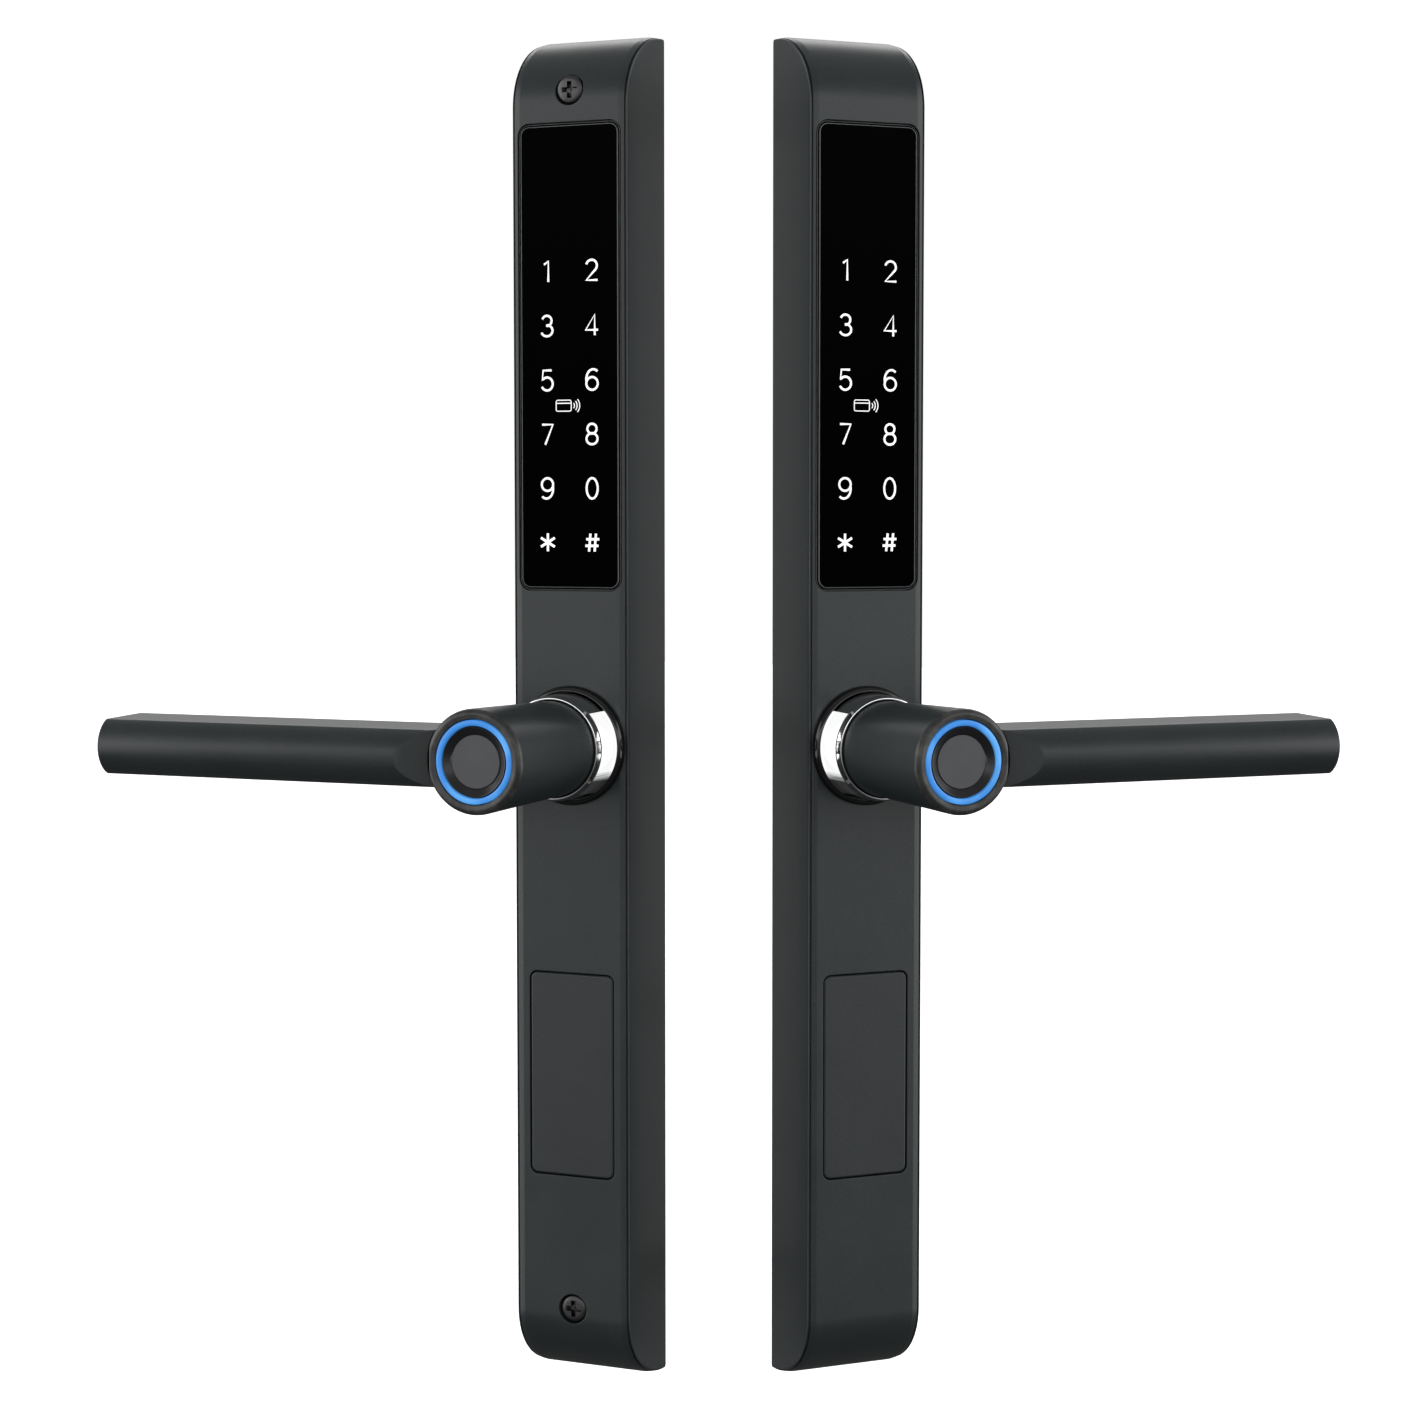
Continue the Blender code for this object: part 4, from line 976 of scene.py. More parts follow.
@dataclass
class Casing:
    """Cast casing: curved ends, long edges with a shoulder and a groove, and the openings of its front."""

    finishes: Finishes
    end_rise: float = 0.0200
    end_steps: int = 28
    front_wall: float = 0.0026
    side_wall: float = 0.0016
    end_wall: float = 0.0020
    gap: float = 0.0003
    through: float = 0.0030
    mouth_round: float = 0.00022
    boss_radius: float = 0.0058
    screw_hole: float = 0.0028
    screw_head: float = 0.0042
    screw_sink: float = 0.0031
    glass_corner: float = 0.0034
    glass_ledge: float = 0.0036
    glass_seat: float = 0.0014
    cover_corner: float = 0.0023
    section: tuple[tuple[float, float], ...] = (
        (0.00265, 0.0),
        (0.00245, 0.00002),
        (0.00170, 0.00014),
        (0.00110, 0.00025),
        (0.00098, 0.00030),
        (0.00090, 0.00040),
        (0.00084, 0.00076),
        (0.00048, 0.00076),
        (0.00042, 0.00048),
        (0.00034, 0.00042),
        (0.00022, 0.00048),
        (0.00011, 0.00066),
        (0.00004, 0.00092),
        (0.0, 0.00130),
    )

    def build(self, pair: Pair) -> None:
        """Model both casings: the inside one has the screws' counterbores.

        Args:
            pair: Both halves, which the pieces are delivered to.
        """
        room = Room.of("inside_casing")
        glass = Room.of("inside_keypad_glass")
        cover = Room.of("inside_battery_cover")
        screws = screw_heights()
        casing = self.skin(room)
        self.close_sides(casing, room)
        Bench.combine(casing, self.cavity(room, screws), Joining.CUT)
        self.open_front(casing, room, glass, cover)
        outside = Bench.twin(casing)
        for z in screws:
            seat = room.front - self.screw_sink
            Bench.combine(casing, Bench.turn([(0, -0.001), (self.screw_hole, -0.001),
                                              (self.screw_hole, seat + TINY)], z), Joining.CUT)
            Bench.combine(casing, Bench.turn([(0, seat), (self.screw_head, seat),
                                              (self.screw_head, room.front + self.through)], z), Joining.CUT)
            reach = self.screw_head
            Bench.bevel(casing, lambda edge: both(edge, lambda p: p.y < -seat - TINY and abs(
                math.hypot(p.x, p.z - z) - reach) < TINY) and not runs_along(edge, 1), self.mouth_round, 2)
        for piece, half in ((casing, pair.inside), (outside, pair.outside)):
            Bench.smooth(piece)
            dress(piece, self.finishes.coat)
            half.deliver(piece, "casing", "charcoal_coating", replaced=("casing",))

    def bent_block(self, width: float, height: float, depth: float, seat: float,
                   rise: float) -> bpy.types.Object:
        """A block whose front ends curve back as quarter ellipses.

        Args:
            width: Size across the door.
            height: Size up the door.
            depth: Size off the door.
            seat: Stand-off of its back.
            rise: How far the ends reach along the door.

        Returns:
            The block.
        """
        block = Bench.block((-width / 2, -seat - rise, -height / 2), (width / 2, -seat, height / 2))
        front = -seat - rise + TINY
        Bench.bevel(block, lambda edge: runs_along(edge, 0) and edge.verts[0].co.y < front,
                    rise * 0.9999, self.end_steps)
        with Bench.editing(block):
            bpy.ops.mesh.select_all(action="SELECT")
            bpy.ops.transform.resize(value=(1, depth / rise, 1), center_override=(0, -seat, 0))
        return block

    def skin(self, room: Room) -> bpy.types.Object:
        """Front and curved ends as a sheet, with the section of its long edges pressed in.

        Args:
            room: The casing's room.

        Returns:
            The sheet, open at both sides and at the back.
        """
        side = room.width / 2
        seat = room.back
        skin = self.bent_block(room.width, room.height, room.front - seat, seat, self.end_rise)
        with Bench.editing(skin):
            Bench.pick(skin, "FACE", lambda face: abs(face.normal.x) > 0.9 or face.normal.y > 0.9)
            bpy.ops.mesh.delete(type="FACE")
            for inset, _ in self.section[:-1]:
                for x in (-side + inset, side - inset):
                    bpy.ops.mesh.select_all(action="SELECT")
                    bpy.ops.mesh.bisect(plane_co=(x, 0, 0), plane_no=(1, 0, 0))
            for inset, drop in self.section:
                line = side - inset
                Bench.pick(skin, "VERT", lambda vert: abs(abs(vert.co.x) - line) < TINY / 2)
                share = (1, 1 - drop / (room.front - seat), 1 - drop / (room.height / 2))
                bpy.ops.transform.resize(value=share, center_override=(0, -seat, 0))
        return skin

    def close_sides(self, skin: bpy.types.Object, room: Room) -> None:
        """Fill both flat sides and the back.

        Args:
            skin: The sheet.
            room: The casing's room.
        """
        side = room.width / 2 - TINY
        with Bench.editing(skin):
            for way in (-1, 1):
                Bench.pick(skin, "EDGE", lambda edge: edge.is_boundary and both(
                    edge, lambda point: way * point.x > side))
                bpy.ops.mesh.edge_face_add()
            Bench.pick(skin, "EDGE", lambda edge: edge.is_boundary)
            bpy.ops.mesh.edge_face_add()
            bpy.ops.mesh.select_all(action="SELECT")
            bpy.ops.mesh.normals_make_consistent(inside=False)

    def cavity(self, room: Room, screws: list[float]) -> bpy.types.Object:
        """The space inside the casing, less the bosses of its screws.

        Args:
            room: The casing's room.
            screws: Heights of the bosses.

        Returns:
            The solid to cut away.
        """
        inner_depth = room.front - self.front_wall - room.back
        cavity = self.bent_block(room.width - 2 * self.side_wall, room.height - 2 * self.end_wall,
                                 inner_depth, room.back, self.end_rise - self.end_wall)
        with Bench.editing(cavity):
            Bench.pick(cavity, "FACE", lambda face: face.normal.y > 0.9)
            bpy.ops.mesh.extrude_region_move(TRANSFORM_OT_translate={"value": (0, self.through, 0)})
        plate = Room.of("inside_back_plate")
        for z in screws:
            boss = Bench.turn([(0, plate.front + self.gap), (self.boss_radius, plate.front + self.gap),
                               (self.boss_radius, room.front + self.through)], z, sides=48)
            Bench.combine(cavity, boss, Joining.CUT)
        return cavity

    def open_front(self, casing: bpy.types.Object, room: Room, glass: Room, cover: Room) -> None:
        """Cut the glass's pocket, its window, the chamber's opening and the bush's bore.

        Args:
            casing: The casing.
            room: Its room.
            glass: The glass's room.
            cover: The cover's room.
        """
        beyond = room.front + self.through
        behind = room.front - self.front_wall - self.through
        pocket = (glass.width + 2 * self.gap, glass.height + 2 * self.gap)
        window = (glass.width - 2 * self.glass_ledge, glass.height - 2 * self.glass_ledge)
        opening = (cover.width + 2 * self.gap, cover.height + 2 * self.gap)
        cuts = (
            (pocket, self.glass_corner, room.front - self.glass_seat, glass.z),
            (window, self.glass_corner, behind, glass.z),
            (opening, self.cover_corner, behind, cover.z),
        )
        for size, corner, back, z in cuts:
            Bench.combine(casing, Bench.plate(size, corner, (back, beyond), z), Joining.CUT)
        rose = Room.of("inside_rose")
        bore = Room.of("inside_trim_ring").radius - 0.0019
        Bench.combine(casing, Bench.turn([(0, behind), (bore, behind), (bore, beyond)], rose.z), Joining.CUT)
        skin = -room.front + 0.0004
        for size, corner, _, z in (cuts[0], cuts[2]):
            Bench.bevel(casing, lambda edge: both(edge, lambda p: p.y < skin and off_round_rectangle(
                p, size, corner, z) < 0.00003) and not runs_along(edge, 1), self.mouth_round, 2)


@dataclass
class KeypadGlass:
    """Black glass with a stepped, ground edge."""

    finishes: Finishes
    corner: float = 0.0031
    margin: float = 0.00055
    step: float = 0.00032
    ground: float = 0.00026

    def build(self, pair: Pair) -> None:
        """Model the glass.

        Args:
            pair: Both halves, which the pieces are delivered to.
        """
        room = Room.of("inside_keypad_glass")
        low_front = room.front - self.step
        glass = Bench.plate((room.width, room.height), self.corner, (room.back, low_front), room.z, steps=10)
        front = -low_front
        with Bench.editing(glass):
            Bench.pick(glass, "FACE", lambda face: face.normal.y < -0.9)
            bpy.ops.mesh.inset(thickness=self.margin, depth=0)
            bpy.ops.mesh.extrude_region_move(TRANSFORM_OT_translate={"value": (0, -self.step, 0)})
        Bench.bevel(glass, lambda edge: both(edge, lambda p: p.y < front - self.step / 2), self.ground, 3)
        Bench.bevel(glass, lambda edge: edge.calc_face_angle(0) > 1 and both(
            edge, lambda p: abs(p.y - front) < TINY and off_round_rectangle(
                p, (room.width, room.height), self.corner, room.z) < TINY), self.ground / 2, 2)
        Bench.smooth(glass)
        dress(glass, self.finishes.glass, self.finishes.ground)
        for face in glass.data.polygons:
            tilted = -0.97 < face.normal.y < 0.5
            face.material_index = int(tilted and face.center.y < front + self.step / 2)
        pair.deliver(glass, "keypad_glass", "black_glass")


def bow(cx: float, cy: float, rx: float, ry: float, start: float, end: float) -> list[tuple[float, float]]:
    """Points of an elliptical arc between two angles in degrees.

    Args:
        cx: Centre across.
        cy: Centre up.
        rx: Radius across.
        ry: Radius up.
        start: First angle.
        end: Last angle.

    Returns:
        The points.
    """
    count = max(6, int(abs(end - start) / 12))
    angles = [math.radians(start + (end - start) * i / count) for i in range(count + 1)]
    return [(cx + rx * math.cos(a), cy + ry * math.sin(a)) for a in angles]


GLYPHS = {
    "1": [[(-0.15, 0.34), (0.08, 0.50), (0.08, -0.50)]],
    "2": [bow(0.0, 0.22, 0.29, 0.28, 165, -42) + [(-0.29, -0.48), (0.32, -0.48)]],
    "3": [bow(-0.01, 0.25, 0.26, 0.25, 160, -90) + bow(-0.01, -0.23, 0.31, 0.27, 90, -160)],
    "4": [[(0.16, -0.50), (0.16, 0.50), (-0.33, -0.24), (0.34, -0.24)]],
    "5": [[(0.24, 0.48), (-0.22, 0.48)] + [(-0.27, 0.02)] + bow(-0.01, -0.18, 0.31, 0.32, 135, -155)],
    "6": [bow(0.01, -0.19, 0.31, 0.31, 0, 360), bow(0.07, 0.02, 0.37, 0.48, 200, 52)],
    "7": [[(-0.29, 0.48), (0.30, 0.48), (-0.12, -0.50)]],
    "8": [bow(0.0, 0.26, 0.25, 0.24, 0, 360), bow(0.0, -0.23, 0.30, 0.27, 0, 360)],
    "9": [bow(-0.01, 0.19, 0.31, 0.31, 0, 360), bow(-0.07, -0.02, 0.37, 0.48, 20, -128)],
    "0": [bow(0.0, 0.0, 0.30, 0.50, 0, 360)],
    "star": [[(0.0, 0.44), (0.0, -0.44)], [(-0.38, 0.22), (0.38, -0.22)], [(-0.38, -0.22), (0.38, 0.22)]],
    "hash": [[(-0.10, 0.44), (-0.18, -0.44)], [(0.20, 0.44), (0.12, -0.44)],
             [(-0.33, 0.16), (0.38, 0.16)], [(-0.38, -0.16), (0.33, -0.16)]],
}


@dataclass
class Legend:
    """Key digits and a plain card sign, as fine raised print on the glass."""

    finishes: Finishes
    rows: tuple[tuple[str, str], ...] = (("1", "2"), ("3", "4"), ("5", "6"), ("7", "8"), ("9", "0"),
                                         ("star", "hash"))
    column: float = 0.0068
    top: float = 0.1226
    pitch: float = 0.01484
    height: float = 0.0056
    stroke: float = 0.00031
    bold: float = 0.00035
    print_height: float = 0.00004
    card: tuple[float, float] = (0.0046, 0.0030)
    card_z: float = 0.0859
    card_stroke: float = 0.00014

    def build(self, pair: Pair) -> None:
        """Draw the legend of each half: it reads the same way on both.

        Args:
            pair: Both halves, which the pieces are delivered to.
        """
        glass = Room.of("inside_keypad_glass")
        for half, side in ((pair.inside, 1), (pair.outside, -1)):
            strokes: list[bpy.types.Object] = []
            for row, pair_of_keys in enumerate(self.rows):
                for column, key in zip((-1, 1), pair_of_keys):
                    middle = (column * self.column, self.top - row * self.pitch)
                    width = self.stroke if key.isdigit() else self.bold
                    for line in GLYPHS[key]:
                        points = [(middle[0] + x * self.height, middle[1] + y * self.height) for x, y in line]
                        strokes.append(self.draw(points, width, glass.front, side))
            for points in self.card_sign():
                strokes.append(self.draw(points, self.card_stroke, glass.front, side))
            legend = Bench.merge(strokes[0], strokes[1:])
            Bench.smooth(legend, 50)
            dress(legend, self.finishes.ink)
            half.deliver(legend, "keypad_legend", "black_glass")

    def card_sign(self) -> list[list[tuple[float, float]]]:
        """Outline of a card with three waves beside it.

        Returns:
            Lines of points (x, z).
        """
        width, height = self.card
        left, z = -0.0018, self.card_z
        corner = 0.0005
        right, up, down = left + width / 2, z + height / 2, z - height / 2
        west = left - width / 2
        outline = bow(right - corner, up - corner, corner, corner, 0, 90)
        outline += bow(west + corner, up - corner, corner, corner, 90, 180)
        outline += bow(west + corner, down + corner, corner, corner, 180, 270)
        outline += bow(right - corner, down + corner, corner, corner, 270, 360)
        outline.append(outline[0])
        stripe = [(west, z + height * 0.22), (right, z + height * 0.22)]
        waves = [bow(right, z, reach, reach, -42, 42) for reach in (0.0010, 0.0018, 0.0026)]
        return [outline, stripe] + waves

    def draw(self, points: list[tuple[float, float]], width: float, front: float,
             side: int) -> bpy.types.Object:
        """One round-ended stroke of print.

        Args:
            points: Places (x, z) along the stroke.
            width: Half the stroke's width.
            front: Stand-off of the glass's face.
            side: -1 draws it mirrored, for the half whose frame is mirrored.

        Returns:
            The stroke as a mesh.
        """
        curve = bpy.data.curves.new("stroke", "CURVE")
        curve.dimensions = "3D"
        curve.bevel_depth = width
        curve.bevel_resolution = 2
        curve.use_fill_caps = True
        spline = curve.splines.new("POLY")
        spline.points.add(len(points) - 1)
        for knot, (x, z) in zip(spline.points, points):
            knot.co = (side * x, 0, z, 1)
        stroke = bpy.data.objects.new("stroke", curve)
        bpy.context.scene.collection.objects.link(stroke)
        Bench.hold(stroke)
        bpy.ops.object.convert(target="MESH")
        stroke = bpy.context.object
        stroke.scale = (1, self.print_height / width, 1)
        stroke.location = (0, -front, 0)
        Bench.settle(stroke)
        return stroke


@dataclass
class RoseAndRing:
    """Glossy flange on the casing and the polished ring that the neck turns in, with a painted reflection on
    part of the ring's outer side.
    """

    finishes: Finishes
    chamfer: float = 0.00018
    ring_wall: float = 0.0012
    flare: float = 0.0003
    face: float = 0.00062
    slope: tuple[float, float] = (0.00055, 0.0018)
    # arc of angles in degrees about the axis where the ring's outer side gets the painted reflection
    painted_reflection_arc: tuple[float, float] = (-58.0, 42.0)
    gap: float = 0.0003

    def build(self, pair: Pair) -> None:
        """Model the rose and the ring.

        Args:
            pair: Both halves, which the pieces are delivered to.
        """
        rose, ring = Room.of("inside_rose"), Room.of("inside_trim_ring")
        bore = ring.radius + self.flare + self.gap
        back, rise = rose.back, rose.front - rose.back
        span = rose.radius - bore
        shares = ((0.0, 0.94), (0.06, 1.0), (0.22, 0.99), (0.42, 0.93), (0.60, 0.83), (0.76, 0.68),
                  (0.88, 0.50), (0.96, 0.30), (1.0, 0.12), (1.0, 0.0), (0.0, 0.0))
        rim = [(bore + out * span, back + up * rise) for out, up in shares]
        flange = Bench.turn(rim, rose.z, sides=ROUND)
        Bench.smooth(flange, 40)
        dress(flange, self.finishes.gloss)
        pair.deliver(flange, "rose", "black_gloss")

        inner, soft = ring.radius - self.ring_wall, self.chamfer
        base, lip = ring.radius + self.flare, inner + self.face
        out, down = self.slope
        band = Bench.turn([
            (inner, ring.front - soft),
            (inner + soft * 0.3, ring.front - soft * 0.3),
            (inner + soft, ring.front),
            (lip - soft, ring.front),
            (lip - soft * 0.3, ring.front - soft * 0.3),
            (lip + out - soft, ring.front - down + soft),
            (lip + out, ring.front - down - soft),
            (base, rose.back + 0.0010),
            (base, ring.back),
            (inner, ring.back),
        ], ring.z, sides=ROUND)
        Bench.smooth(band, 25)
        dress(band, self.finishes.chrome, self.finishes.lit_chrome)
        # outer-side faces within that arc take the chrome with the painted reflection
        for face in band.data.polygons:
            x, z = face.center.x, face.center.z - ring.z
            turn = math.degrees(math.atan2(z, x))
            outer = math.hypot(x, z) > lip + out - soft and abs(face.normal.y) < 0.2
            low, high = self.painted_reflection_arc
            face.material_index = int(outer and low < turn < high)
        pair.deliver(band, "trim_ring", "chrome")


@dataclass
class Lever:
    """Neck and arm in one casting."""

    finishes: Finishes
    root_radius: float = 0.0131
    journal_radius: float = 0.0097
    root: float = 0.0272
    root_end: float = 0.0373
    rim_round: float = 0.0015
    rim_dish: float = 0.00012
    bore_radius: float = 0.0112
    bore_depth: float = 0.0080
    arm_depth: float = 0.0222
    arm_root: float = 0.0030
    front_height: float = 0.0152
    back_height: float = 0.0164
    crown: float = 0.0045
    crown_steps: int = 16
    setback: float = 0.0015
    back_round: float = 0.0018
    crisp: float = 0.00035
    scoop_start: float = 0.0246
    scoop_end: float = 0.0142
    scoop_extra: float = 0.0002
    hollow_end: float = 0.0128
    fillet: float = 0.0011
    grub_standoff: float = 0.0410
    grub_hole: float = 0.0021
    socket_side: float = 0.0086
    socket_depth: float = 0.0443

    def build(self, pair: Pair) -> None:
        """Model the lever about its own axis and lift it to its height.

        Args:
            pair: Both halves, which the pieces are delivered to.
        """
        room = Room.of("inside_lever")
        axis = Room.of("inside_trim_ring").z
        rim_front, rim_radius, reach = room.front, room.high.x, -room.low.x
        arm = self.arm(rim_front, reach)
        self.scoop(arm, rim_front)
        lever = self.neck(room.back, rim_front, rim_radius)
        Bench.combine(lever, arm, Joining.JOIN)
        self.hollow(lever, rim_front)
        self.holes(lever, room.back, rim_radius)
        Bench.apply_matrix(lever, Matrix.Translation((0, 0, axis)))
        Bench.smooth(lever, 28)
        dress(lever, self.finishes.coat, self.finishes.rim)
        self.wear_rim(lever, rim_front, axis)
        pair.deliver(lever, "lever", "charcoal_coating", Carrier.LEVER)

    def neck(self, back: float, rim_front: float, rim_radius: float) -> bpy.types.Object:
        """Journal, neck, rounded rim and the reader's bore.

        Args:
            back: Stand-off of the journal's end.
            rim_front: Stand-off of the rim.
            rim_radius: Radius of the rim.

        Returns:
            The neck, about its own axis.
        """
        middle = rim_front - self.rim_round
        profile = [(0, back), (self.journal_radius - 0.0004, back), (self.journal_radius, back + 0.0004),
                   (self.journal_radius, self.root), (self.root_radius - 0.0002, self.root),
                   (self.root_radius, self.root + 0.0002), (self.root_radius, self.root_end)]
        profile += [(self.root_radius + (rim_radius - self.root_radius) * share,
                     self.root_end + (middle - self.root_end) * share) for share in (0.25, 0.5, 0.75, 1.0)]
        for step in range(1, 9):
            angle = math.pi / 2 * step / 8
            profile.append((rim_radius - self.rim_round * (1 - math.cos(angle)),
                            middle + self.rim_round * math.sin(angle)))
        profile += [
            (self.bore_radius + 0.0007, rim_front - self.rim_dish),
            (self.bore_radius + 0.0002, rim_front - self.rim_dish - 0.00005),
            (self.bore_radius, rim_front - self.rim_dish - 0.00025),
            (self.bore_radius, rim_front - self.bore_depth),
        ]
        return Bench.turn(profile, sides=ROUND)

    def arm(self, rim_front: float, reach: float) -> bpy.types.Object:
        """Bar with a crowned front, flat drafted top and bottom and a rounded back.

        Args:
            rim_front: Stand-off of the rim.
            reach: Length from the axis to the tip.

        Returns:
            The arm.
        """
        front = rim_front - self.setback
        back = front - self.arm_depth
        half = self.front_height / 2
        arm = Bench.block((-reach, -front, -half), (-self.arm_root, -back, half))
        radius = (half ** 2 + self.crown ** 2) / (2 * self.crown)
        levels = [half * (2 * step / self.crown_steps - 1) for step in range(1, self.crown_steps)]
        with Bench.editing(arm):
            for z in levels:
                bpy.ops.mesh.select_all(action="SELECT")
                bpy.ops.mesh.bisect(plane_co=(0, 0, z), plane_no=(0, 0, 1))
            for z in [level for level in levels if level > TINY] + [half]:
                drop = radius - math.sqrt(radius ** 2 - z ** 2)
                Bench.pick(arm, "VERT", lambda vert: abs(abs(vert.co.z) - z) < TINY and abs(
                    vert.co.y + front) < TINY)
                bpy.ops.transform.translate(value=(0, drop, 0))
            Bench.pick(arm, "VERT", lambda vert: abs(vert.co.y + back) < TINY)
            share = self.back_height / self.front_height
            bpy.ops.transform.resize(value=(1, 1, share), center_override=(0, -back, 0))
        outer = self.back_height / 2
        Bench.bevel(arm, lambda edge: runs_along(edge, 0) and both(edge, lambda p: abs(
            p.y + back) < TINY and abs(abs(p.z) - outer) < TINY), self.back_round, 6)
        Bench.bevel(arm, lambda edge: runs_along(edge, 0) and both(edge, lambda p: abs(
            p.y + front - self.crown) < TINY and abs(abs(p.z) - half) < TINY), self.crisp, 3)
        Bench.bevel(arm, lambda edge: edge.calc_face_angle(0) > 0.5 and both(
            edge, lambda p: p.x < -reach + TINY), self.crisp, 3)
        return arm

    def scoop(self, arm: bpy.types.Object, rim_front: float) -> None:
        """Cut the slanted facet at the arm's root.

        Args:
            arm: The arm to cut.
            rim_front: Stand-off of the rim.
        """
        crown = rim_front - self.setback
        floor = crown - self.crown - self.scoop_extra
        over = self.scoop_start + 2 * BEYOND
        slope = (crown - floor) / (self.scoop_start - self.scoop_end)
        tall = self.back_height / 2 + BEYOND
        top = rim_front + 2 * BEYOND
        wedge = Bench.block((-over, -top, -tall), (-self.scoop_end, -floor, tall))
        with Bench.editing(wedge):
            Bench.pick(wedge, "VERT", lambda vert: vert.co.x < -over + TINY and vert.co.y > -floor - TINY)
            bpy.ops.transform.translate(value=(0, -slope * (over - self.scoop_end), 0))
        Bench.combine(arm, wedge, Joining.CUT)

    def hollow(self, lever: bpy.types.Object, rim_front: float) -> None:
        """Cut the upright hollow between the facet and the neck, which rises in a curve to the rim.

        Args:
            lever: The lever to cut.
            rim_front: Stand-off of the rim.
        """
        floor = rim_front - self.setback - self.crown - self.scoop_extra
        tall = self.back_height / 2 + BEYOND
        low = (-self.scoop_end, -rim_front - 2 * BEYOND, -tall)
        cutter = Bench.block(low, (-self.hollow_end, -floor, tall))
        Bench.bevel(cutter, lambda edge: both(edge, lambda p: p.x > -self.hollow_end - TINY and p.y > (
            -floor - TINY)), self.fillet, 14)
        Bench.combine(lever, cutter, Joining.CUT)

    def holes(self, lever: bpy.types.Object, back: float, rim_radius: float) -> None:
        """Cut the spindle's socket and the grub screw's hole.

        Args:
            lever: The lever to cut.
            back: Stand-off of the journal's end.
            rim_radius: Radius of the rim.
        """
        side = self.socket_side / 2
        socket = Bench.block((-side, -self.socket_depth, -side), (side, -back + 2 * BEYOND, side))
        Bench.combine(lever, socket, Joining.CUT)
        length = rim_radius + 2 * BEYOND
        bpy.ops.mesh.primitive_cylinder_add(vertices=32, radius=self.grub_hole, depth=length,
                                            location=(0, -self.grub_standoff, -length / 2))
        hole = bpy.context.object
        Bench.settle(hole)
        Bench.combine(lever, hole, Joining.CUT)

    def wear_rim(self, lever: bpy.types.Object, rim_front: float, axis: float) -> None:
        """Give the rim's front its worn finish.

        Args:
            lever: The lever.
            rim_front: Stand-off of the rim.
            axis: Height of its axis.
        """
        limit = -(rim_front - self.rim_round * 0.75)
        for face in lever.data.polygons:
            near = math.hypot(face.center.x, face.center.z - axis) < 0.0139
            face.material_index = int(near and face.center.y < limit)


@dataclass
class Reader:
    """Light ring, funnel and fingerprint sensor in the end of the neck."""

    finishes: Finishes
    ring_radius: float = 0.0110
    funnel_lip: float = 0.0092
    sensor_radius: float = 0.00705
    sensor_round: float = 0.00025

    def build(self, pair: Pair) -> None:
        """Model the reader's three visible pieces.

        Args:
            pair: Both halves, which the pieces are delivered to.
        """
        ring = Room.of("inside_light_ring")
        bezel = Room.of("inside_reader_bezel")
        sensor = Room.of("inside_fingerprint_sensor")
        inner, outer = self.funnel_lip + 0.0003, self.ring_radius
        middle, span = (outer + inner) / 2, (outer - inner) / 2
        dome = [(middle + span * math.cos(math.pi * step / 12),
                 ring.front - 0.00022 + 0.00022 * math.sin(math.pi * step / 12)) for step in range(13)]
        guide = Bench.turn([(outer, ring.back)] + dome + [(inner, ring.back)], ring.z, sides=ROUND)
        Bench.smooth(guide, 40)
        dress(guide, self.finishes.light)
        pair.deliver(guide, "light_ring", "blue_light", Carrier.LEVER)

        bore = self.sensor_radius + 0.00012
        low = sensor.front - 0.0002
        funnel = Bench.turn([
            (self.funnel_lip, bezel.front - 0.00012),
            (self.funnel_lip, ring.back - 0.0003),
            (outer, ring.back - 0.0003),
            (outer, bezel.back),
            (bore, bezel.back),
            (bore, low),
            (bore + 0.00018, low + 0.00010),
            (self.funnel_lip - 0.00045, bezel.front - 0.00020),
            (self.funnel_lip - 0.00028, bezel.front - 0.00004),
            (self.funnel_lip - 0.00012, bezel.front),
        ], ring.z, sides=ROUND)
        Bench.smooth(funnel, 35)
        dress(funnel, self.finishes.funnel)
        pair.deliver(funnel, "reader_bezel", "black_satin", Carrier.LEVER)

        soft = self.sensor_round
        edge = self.sensor_radius
        disc = Bench.turn([(0, sensor.back), (edge, sensor.back), (edge, sensor.front - soft),
                           (edge - soft * 0.3, sensor.front - soft * 0.3), (edge - soft, sensor.front)],
                          sensor.z, sides=ROUND)
        Bench.smooth(disc, 30)
        dress(disc, self.finishes.sensor)
        pair.deliver(disc, "fingerprint_sensor", "sensor_grey", Carrier.LEVER)


@dataclass
class LowerCover:
    """Lift-off cover with a soft edge and a skirt."""

    finishes: Finishes
    corner: float = 0.0020
    thickness: float = 0.0021
    edge: float = 0.0006
    lap: float = 0.0010
    skirt_wall: float = 0.0012

    def build(self, pair: Pair) -> None:
        """Model the cover.

        Args:
            pair: Both halves, which the pieces are delivered to.
        """
        room = Room.of("inside_battery_cover")
        back = room.front - self.thickness
        cover = Bench.plate((room.width, room.height), self.corner, (back, room.front), room.z, steps=8)
        with Bench.editing(cover):
            Bench.pick(cover, "FACE", lambda face: face.normal.y > 0.9)
            bpy.ops.mesh.inset(thickness=self.lap, depth=0)
            bpy.ops.mesh.extrude_region_move(TRANSFORM_OT_translate={"value": (0, back - room.back, 0)})
            bpy.ops.mesh.inset(thickness=self.skirt_wall, depth=0)
            bpy.ops.mesh.extrude_region_move(TRANSFORM_OT_translate={"value": (0, room.back - back, 0)})
        front = -room.front
        Bench.bevel(cover, lambda edge: both(edge, lambda p: p.y < front + TINY), self.edge, 4)
        Bench.smooth(cover)
        dress(cover, self.finishes.cover_coat)
        twin = Bench.twin(cover)
        for piece, half, name in ((cover, pair.inside, "battery_cover"), (twin, pair.outside, "key_cover")):
            half.deliver(piece, name, "charcoal_coating", Carrier.COVER, (name,))


